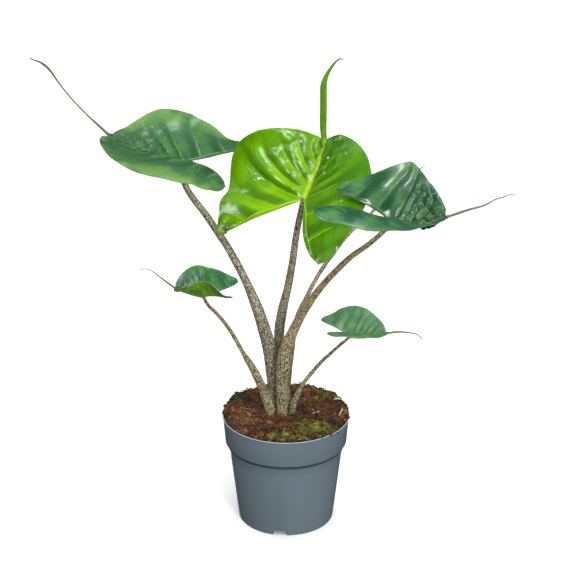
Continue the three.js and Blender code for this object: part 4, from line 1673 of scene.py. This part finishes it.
UPPER_LEFT = Leaf(
    "upper_left", at=(-130, 25, 496), length=99.5, heading=181, pitch=12, roll=47, arch=(16, -16),
    left=Half(
        fold=(-27, -21, -33), curl=(-37, -33, -23), width=1.05, lobe=0.7, spread=-0.05, quilt=2.4,
        pucker=2.0, wave=1.6,
    ),
    right=Half(
        fold=(73, 42, 25), curl=(-23, 20, 62), width=1.2, lobe=0.7, spread=-0.3, quilt=2.6,
        pucker=4.5, wave=1.6, kinks=((-0.4, 0.1, -5.0), (-0.18, 0.12, 3.0)),
    ),
    petiole=Route(
        (
            (-11, 7, 122), (-13, 8, 152), (-18, 9, 199), (-23, 10, 245), (-35, 12, 290),
            (-52, 18, 333), (-74, 26, 375), (-101, 29, 418), (-129, 28, 462), (-131, 25, 497),
        ),
        girth=((0, 13), (0.1, 14), (0.32, 18), (0.43, 15.5), (0.53, 11), (0.75, 9.5), (1, 7.4)),
    ),
    tail=Route(
        (
            (-238, 34, 541), (-254, 34, 557), (-272, 34, 578), (-285, 34, 596), (-296, 34, 613),
            (-306, 34, 622), (-314, 34, 625), (-320, 34, 628),
        ),
        girth=((0, 2.4), (0.15, 3.4), (0.3, 2), (0.7, 2), (0.85, 3.4), (1, 1.2)),
    ),
    finish=LeafFinish(
        "upper_left", deep=(0.045, 0.14, 0.06), bright=(0.09, 0.25, 0.055),
        margin=(0.19, 0.38, 0.075), vein=(0.25, 0.45, 0.2), under=(0.05, 0.14, 0.05),
        patch=(0.42, 0.7), right=(1.0, 1.0, 1.1), roughness=0.16, vein_width=0.035,
        rib_strength=0.8, vein_strength=0.85, margin_start=0.72, crease=0.5,
    ),
    tail_finish=TailFinish(
        "upper_left", rib=(0.05, 0.17, 0.05), tail=(0.085, 0.13, 0.07), tip=(0.1, 0.12, 0.09),
    ),
    petiole_finish=GREY_SKIN, rib=5.5, sheath=0.46, sheath_turn=40.0, knot=5.0, seed=21,
)

CENTRE = Leaf(
    "centre", at=(23, 5, 452), length=89.5, heading=63, pitch=31, roll=-10, arch=(22, -10),
    left=Half(
        fold=(39, 18, 50), curl=(-59, -23, 5), width=1.15, lobe=0.85, spread=0.08, quilt=7.0,
        pucker=3.2, wave=3.4,
    ),
    right=Half(
        fold=(39, 24, 27), curl=(-43, -33, -29), width=0.95, lobe=1.35, spread=0.25, quilt=2.4,
        pucker=1.6, wave=2.0,
    ),
    petiole=Route(
        (
            (2, 10, 122), (2, 11, 152), (-6, 18, 210), (-9, 19, 255), (-5, 16, 292), (2, 12, 326),
            (8, 9, 362), (13, 7, 401), (18, 6, 430), (23, 5, 453),
        ),
        girth=((0, 12), (0.25, 13), (0.5, 13.4), (0.6, 10.5), (1, 7.6)),
    ),
    tail=Route(
        (
            (48, 65, 527), (48, 65, 551), (48, 65, 571), (48, 65, 584), (51, 65, 596),
            (57, 65, 607), (63, 65, 615), (68, 65, 619), (73, 65, 618),
        ),
        girth=((0, 5), (0.12, 8), (0.62, 8), (0.75, 4.4), (1, 1.4)),
    ),
    finish=LeafFinish(
        "centre", deep=(0.095, 0.29, 0.0), bright=(0.2, 0.48, 0.0), margin=(0.1, 0.28, 0.002),
        vein=(0.5, 0.66, 0.015), under=(0.08, 0.27, 0.004), patch=(0.4, 0.62),
        # Darker right half: partly its own green, partly painted shade
        right=(0.5, 0.68, 1.0), roughness=0.12, vein_width=0.04, rib_strength=0.75,
        vein_strength=0.5, crease=0.65, streaks=1.0, specular=0.42, coat=0.42,
    ),
    tail_finish=TailFinish(
        "centre", rib=(0.4, 0.56, 0.03), tail=(0.1, 0.29, 0.001), tip=(0.1, 0.22, 0.01),
    ),
    petiole_finish=OLIVE_SKIN, rib=6.0, sheath=0.58, sheath_turn=-50.0, tail_groove=3.0, knot=2.0,
    seed=4,
)

UPPER_RIGHT = Leaf(
    "upper_right", at=(130, -97, 456), length=66.5, heading=-17, pitch=-5, roll=-15, arch=(36, -4),
    left=Half(
        fold=(50, 52, 65), curl=(-1, 14, -4), width=1.1, lobe=1.3, spread=-0.38, quilt=3.4,
        pucker=4.4, wave=1.2,
    ),
    right=Half(
        fold=(39, 25, -4), curl=(-53, -36, 3), width=1.2, lobe=1.35, spread=0.2, quilt=2.0,
        pucker=2.4, wave=1.4, pouch=7.0,
    ),
    petiole=Route(
        (
            (-4, -5, 122), (-5, -7, 152), (-5, -12, 197), (-2, -18, 246), (10, -24, 283),
            (27, -35, 321), (49, -49, 359), (78, -68, 399), (104, -83, 426), (130, -97, 457),
        ),
        girth=((0, 14), (0.1, 15), (0.27, 18.5), (0.38, 14.5), (0.5, 11), (0.6, 9), (1, 5.8)),
    ),
    tail=Route(
        (
            (203, -111, 473), (220, -111, 479), (237, -111, 484), (251, -111, 492),
            (261, -111, 495), (268, -111, 498), (274, -111, 497),
        ),
        girth=((0, 3), (0.2, 3.6), (0.7, 1.8), (1, 1.2)),
    ),
    finish=LeafFinish(
        "upper_right", deep=(0.017, 0.085, 0.035), bright=(0.065, 0.205, 0.055),
        margin=(0.12, 0.26, 0.09), vein=(0.16, 0.32, 0.11), under=(0.012, 0.035, 0.012),
        patch=(0.42, 0.66), right=(1.2, 1.1, 1.4), roughness=0.14, vein_width=0.03,
        rib_strength=0.6, vein_strength=0.5, crease=0.5, specular=0.38, coat=0.32,
    ),
    tail_finish=TailFinish(
        "upper_right", rib=(0.16, 0.24, 0.09), tail=(0.11, 0.17, 0.08), tip=(0.16, 0.2, 0.12),
    ),
    petiole_finish=TAN_SKIN, rib=4.0, sheath=0.46, sheath_turn=20.0, seed=63,
)

LOWER_LEFT = Leaf(
    "lower_left", at=(-106, -35, 334), length=37.5, heading=176, pitch=10, roll=-6, arch=(15, 4),
    left=Half(
        fold=(41, 59, 33), curl=(-6, -3, 0), width=1.0, lobe=1.15, spread=0.0, quilt=2.2,
        pucker=1.6, wave=0.5,
    ),
    right=Half(
        fold=(32, 37, 51), curl=(-16, -8, 0), width=1.0, lobe=1.2, spread=0.05, quilt=0.7,
        pucker=0.4, wave=0.5,
    ),
    petiole=Route(
        (
            (-19, -5, 122), (-21, -6, 155), (-30, -8, 188), (-42, -12, 219), (-55, -16, 245),
            (-73, -23, 283), (-89, -29, 308), (-99, -32, 320), (-106, -35, 335),
        ),
        girth=((0, 12.4), (0.15, 13), (0.4, 11), (0.5, 8.6), (0.56, 5.8), (1, 4.2)),
    ),
    tail=Route(
        (
            (-148, -34, 351), (-158, -34, 359), (-166, -34, 366), (-172, -34, 370),
            (-179, -34, 372), (-186, -34, 370),
        ),
        girth=((0, 2), (0.2, 2.6), (0.6, 1.4), (1, 1)),
    ),
    finish=LeafFinish(
        "lower_left", deep=(0.025, 0.14, 0.055), bright=(0.08, 0.28, 0.05),
        margin=(0.14, 0.3, 0.08), vein=(0.18, 0.38, 0.14), under=(0.19, 0.5, 0.02),
        patch=(0.45, 0.65), roughness=0.24, vein_width=0.04,
        rib_strength=0.8, vein_strength=0.6, specular=0.5, coat=0.1,
    ),
    tail_finish=TailFinish(
        "lower_left", rib=(0.15, 0.25, 0.08), tail=(0.12, 0.12, 0.08), tip=(0.12, 0.12, 0.08),
    ),
    petiole_finish=GREEN_SKIN, rib=3.0, rows=80, columns=28, sheath=0.55, sheath_turn=50.0,
    knot=2.6, seed=37,
)

LOWER_RIGHT = Leaf(
    "lower_right", at=(84, -30, 276), length=47, heading=2, pitch=-9, roll=-23, arch=(28, 1),
    left=Half(
        fold=(33, 38, 44), curl=(-9, 11, 16), width=1.05, lobe=0.9, spread=-0.2, quilt=0.8,
        pucker=0.7, wave=0.6,
    ),
    right=Half(
        fold=(15, 23, 9), curl=(-34, -38, -24), width=1.0, lobe=0.85, spread=0.05, quilt=0.7,
        pucker=0.5, wave=0.6,
    ),
    petiole=Route(
        (
            (7, -4, 122), (8, -5, 153), (11, -6, 169), (19, -9, 192), (28, -12, 208),
            (46, -17, 234), (57, -21, 247), (69, -25, 261), (84, -30, 277),
        ),
        girth=((0, 7.6), (0.25, 8), (0.36, 7), (0.42, 5.6), (1, 4)),
    ),
    tail=Route(
        (
            (142, -24, 280), (152, -24, 280), (161, -24, 279), (169, -24, 277), (173, -24, 274),
            (177, -24, 270),
        ),
        girth=((0, 2.4), (0.2, 3), (0.7, 1.8), (1, 1.2)),
    ),
    finish=LeafFinish(
        "lower_right", deep=(0.075, 0.24, 0.11), bright=(0.16, 0.37, 0.12),
        margin=(0.22, 0.4, 0.11), vein=(0.34, 0.5, 0.26), under=(0.03, 0.1, 0.03),
        patch=(0.45, 0.65), roughness=0.26, vein_width=0.04,
        rib_strength=0.8, vein_strength=0.6,
    ),
    tail_finish=TailFinish(
        "lower_right", rib=(0.18, 0.3, 0.11), tail=(0.1, 0.22, 0.08), tip=(0.14, 0.13, 0.09),
    ),
    petiole_finish=GREEN_SKIN, rib=3.0, rows=80, columns=28, sheath=0.4, sheath_turn=-40.0, seed=48,
)

REAR = Leaf(
    "rear", at=(129, 88, 424), length=46, heading=30, pitch=18, roll=-19, arch=(20, 2),
    left=Half(
        fold=(34, 34, 34), curl=(-20, -15, -10), width=1.0, lobe=1.0, spread=0.0, quilt=0.8,
        pucker=0.6, wave=0.6,
    ),
    right=Half(
        fold=(52, 52, 52), curl=(-20, -15, -10), width=1.0, lobe=1.0, spread=0.0, quilt=0.8,
        pucker=0.6, wave=0.6,
    ),
    petiole=Route(
        (
            (2, 23, 122), (2, 25, 152), (4, 25, 190), (7, 25, 221), (14, 29, 275), (27, 35, 304),
            (43, 44, 333), (63, 54, 360), (85, 64, 385), (112, 78, 406), (129, 88, 425),
        ),
        girth=((0, 7), (0.4, 6.4), (1, 4.4)),
    ),
    tail=Route(
        ((173, 113, 450), (179, 117, 456), (186, 120, 459)), girth=((0, 2), (0.3, 2.4), (1, 1)),
    ),
    finish=LeafFinish(
        "rear", deep=(0.03, 0.13, 0.055), bright=(0.08, 0.24, 0.05), margin=(0.14, 0.3, 0.09),
        vein=(0.22, 0.4, 0.16), under=(0.03, 0.1, 0.03), patch=(0.45, 0.65),
        roughness=0.26, vein_width=0.04, rib_strength=0.8, vein_strength=0.6,
    ),
    tail_finish=TailFinish(
        "rear", rib=(0.15, 0.24, 0.1), tail=(0.1, 0.16, 0.07), tip=(0.12, 0.16, 0.08),
    ),
    petiole_finish=OLIVE_SKIN, rib=3.0, rows=80, columns=28, sheath=0.3, sheath_turn=0.0, seed=59,
)

LEAVES = (UPPER_LEFT, CENTRE, UPPER_RIGHT, LOWER_LEFT, LOWER_RIGHT, REAR)


# ---- Corm, stage, camera and lights --------------------------------------------------------------


@dataclass(frozen=True)
class CormFinish:
    """Fibrous brown skin of the corm's crown, which stays as the CAD part."""

    husk: Colour = (0.1, 0.06, 0.035)
    crease: Colour = (0.02, 0.013, 0.009)
    roughness: float = 0.85

    def dress(self) -> None:
        """Put the skin on the carried-over CAD node."""
        material, shade, skin = start_material("corm_skin")
        spot = shade.add("ShaderNodeTexCoord").outputs["Object"]
        grain = effect(shade, Effect.GRAIN, spot, Fine=900.0, Broad=160.0)
        fibres = shade.ramp(grain.outputs["Patch"], 0.4, 0.65)
        shade.link(shade.mix(fibres, self.crease, self.husk), skin.inputs["Base Color"])
        emboss(shade, skin, grain.outputs["Patch"], 0.8, 0.002)
        skin.inputs["Roughness"].default_value = self.roughness
        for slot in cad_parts["corm"].material_slots:
            slot.material = material


@dataclass(frozen=True)
class Sun:
    """An even light from above: its tilt is in degrees, from the front and from the right."""

    name: str
    energy: float
    spread: float
    tilt: tuple[float, float]
    shadow: bool = True
    diffuse: bool = True
    glossy: bool = False

    def shine(self) -> None:
        """Add the light to the scene."""
        data = bpy.data.lights.new(self.name, "SUN")
        data.energy = self.energy
        data.angle = math.radians(self.spread)
        data.use_shadow = self.shadow
        lamp = bpy.data.objects.new(self.name, data)
        lamp.rotation_euler = (*map(math.radians, self.tilt), 0)
        lamp.visible_glossy = self.glossy
        lamp.visible_diffuse = self.diffuse
        bpy.context.scene.collection.objects.link(lamp)


def glint(number: int, energy: float, tilt: tuple[float, float]) -> Sun:
    """A light that only shines on glossy skins, for their highlights."""
    return Sun(f"glint_{number}", energy, 11.0, tilt, shadow=False, diffuse=False, glossy=True)


SUNS = (
    Sun("key", 0.8, 12.0, (40.0, 20.0), glossy=True),
    glint(0, 0.9, (48.0, -34.0)),
    glint(1, 0.9, (18.0, -26.0)),
    glint(2, 0.9, (62.0, 14.0)),
    glint(3, 0.9, (26.0, 36.0)),
    glint(4, 0.12, (-30.0, 14.0)),
    Sun("sky", 0.8, 80.0, (-8.0, 0.0)),
    Sun("even", 2.0, 80.0, (-6.0, 4.0), shadow=False),
)


@dataclass
class Studio:
    """White surroundings, even light from above, two soft side lights and the camera."""

    eye: Point = (0.0, -1.9443, 1.1281)
    target: Point = (0.0, 0.0, 0.3346)
    middle: Point = (0.0, 0.0, 0.35)
    lens: float = 101.96
    sensor: float = 36.0
    world: float = 0.4
    floor_size: float = 60.0
    floor_shade: float = 0.9
    light_size: float = 0.9

    def aim(self, item: bpy.types.Object, target: Point) -> None:
        """Turn a camera or light towards a target."""
        heading = Vector(target) - item.location
        item.rotation_euler = heading.to_track_quat("-Z", "Y").to_euler()

    def surroundings(self) -> None:
        """White light from all round, which glossy skins don't mirror."""
        world = bpy.data.worlds.new("studio")
        world.use_nodes = True
        background = world.node_tree.nodes["Background"]
        background.inputs["Color"].default_value = (*WHITE, 1.0)
        background.inputs["Strength"].default_value = self.world
        world.cycles_visibility.glossy = False
        bpy.context.scene.world = world

    def floor(self) -> None:
        """A wide pale floor under the pot."""
        deselect()
        bpy.ops.mesh.primitive_plane_add(size=self.floor_size)
        floor = bpy.context.object
        floor.name = "stage_floor"
        material, _, skin = start_material("stage_floor")
        skin.inputs["Base Color"].default_value = (*times(WHITE, self.floor_shade), 1.0)
        skin.inputs["Roughness"].default_value = 0.9
        floor.data.materials.append(material)
        floor.visible_diffuse = False
        floor.visible_glossy = False

    def light(self, name: str, place: Point, power: float) -> None:
        """Add one square area light aimed at the plant.

        Args:
            name: the light's name.
            place: where it stands, in metres.
            power: its strength in watts.
        """
        data = bpy.data.lights.new(name, "AREA")
        data.shape = "SQUARE"
        data.size = self.light_size
        data.energy = power
        lamp = bpy.data.objects.new(name, data)
        lamp.location = place
        bpy.context.scene.collection.objects.link(lamp)
        self.aim(lamp, self.middle)

    def camera(self) -> None:
        """Stand the camera in front and a little above."""
        data = bpy.data.cameras.new("front")
        data.lens = self.lens
        data.sensor_width = self.sensor
        camera = bpy.data.objects.new("front", data)
        camera.location = self.eye
        bpy.context.scene.collection.objects.link(camera)
        self.aim(camera, self.target)
        bpy.context.scene.camera = camera

    def build(self) -> None:
        """Set the world, the floor, the lights and the camera."""
        self.surroundings()
        self.floor()
        for sun in SUNS:
            sun.shine()
        self.light("rear", (-1.9, 1.3, 0.9), 12.0)
        self.light("fill", (0.6, -2.2, 0.8), 32.0)
        bpy.context.scene.view_settings.view_transform = "Standard"
        self.camera()


GREEN_MOSS = LitterFinish(
    "moss_green", (0.022, 0.024, 0.006), (0.15, 0.135, 0.014), (0.4, 0.35, 0.04)
)
DARK_MOSS = LitterFinish(
    "moss_dark", (0.012, 0.028, 0.008), (0.06, 0.085, 0.025), (0.18, 0.2, 0.07)
)
PALE_WOOD = LitterFinish(
    "pale_wood", (0.5, 0.4, 0.28), (0.72, 0.58, 0.42), (0.85, 0.74, 0.58), 0.7
)
CUSHIONS = (
    Moss("moss_front_right", 2200, GREEN_MOSS, 1), Moss("moss_front_edge", 900, GREEN_MOSS, 2),
    Moss("moss_back_right", 900, GREEN_MOSS, 3), Moss("moss_left", 300, DARK_MOSS, 4),
)


def main() -> None:
    """Build every piece, then the stage."""
    logging.basicConfig(level=logging.INFO, format="%(message)s")
    build_effects()
    NurseryPot().build()
    PottingMix().build()
    for cushion in CUSHIONS:
        cushion.build()
    wood = PALE_WOOD.skin()
    for name in ("wood_sliver_middle", "wood_sliver_back", "wood_sliver_right"):
        WoodSliver(name, wood).build()
    for leaf in LEAVES:
        leaf.build()
    CormFinish().dress()
    Studio().build()


if __name__ == "__main__":
    main()
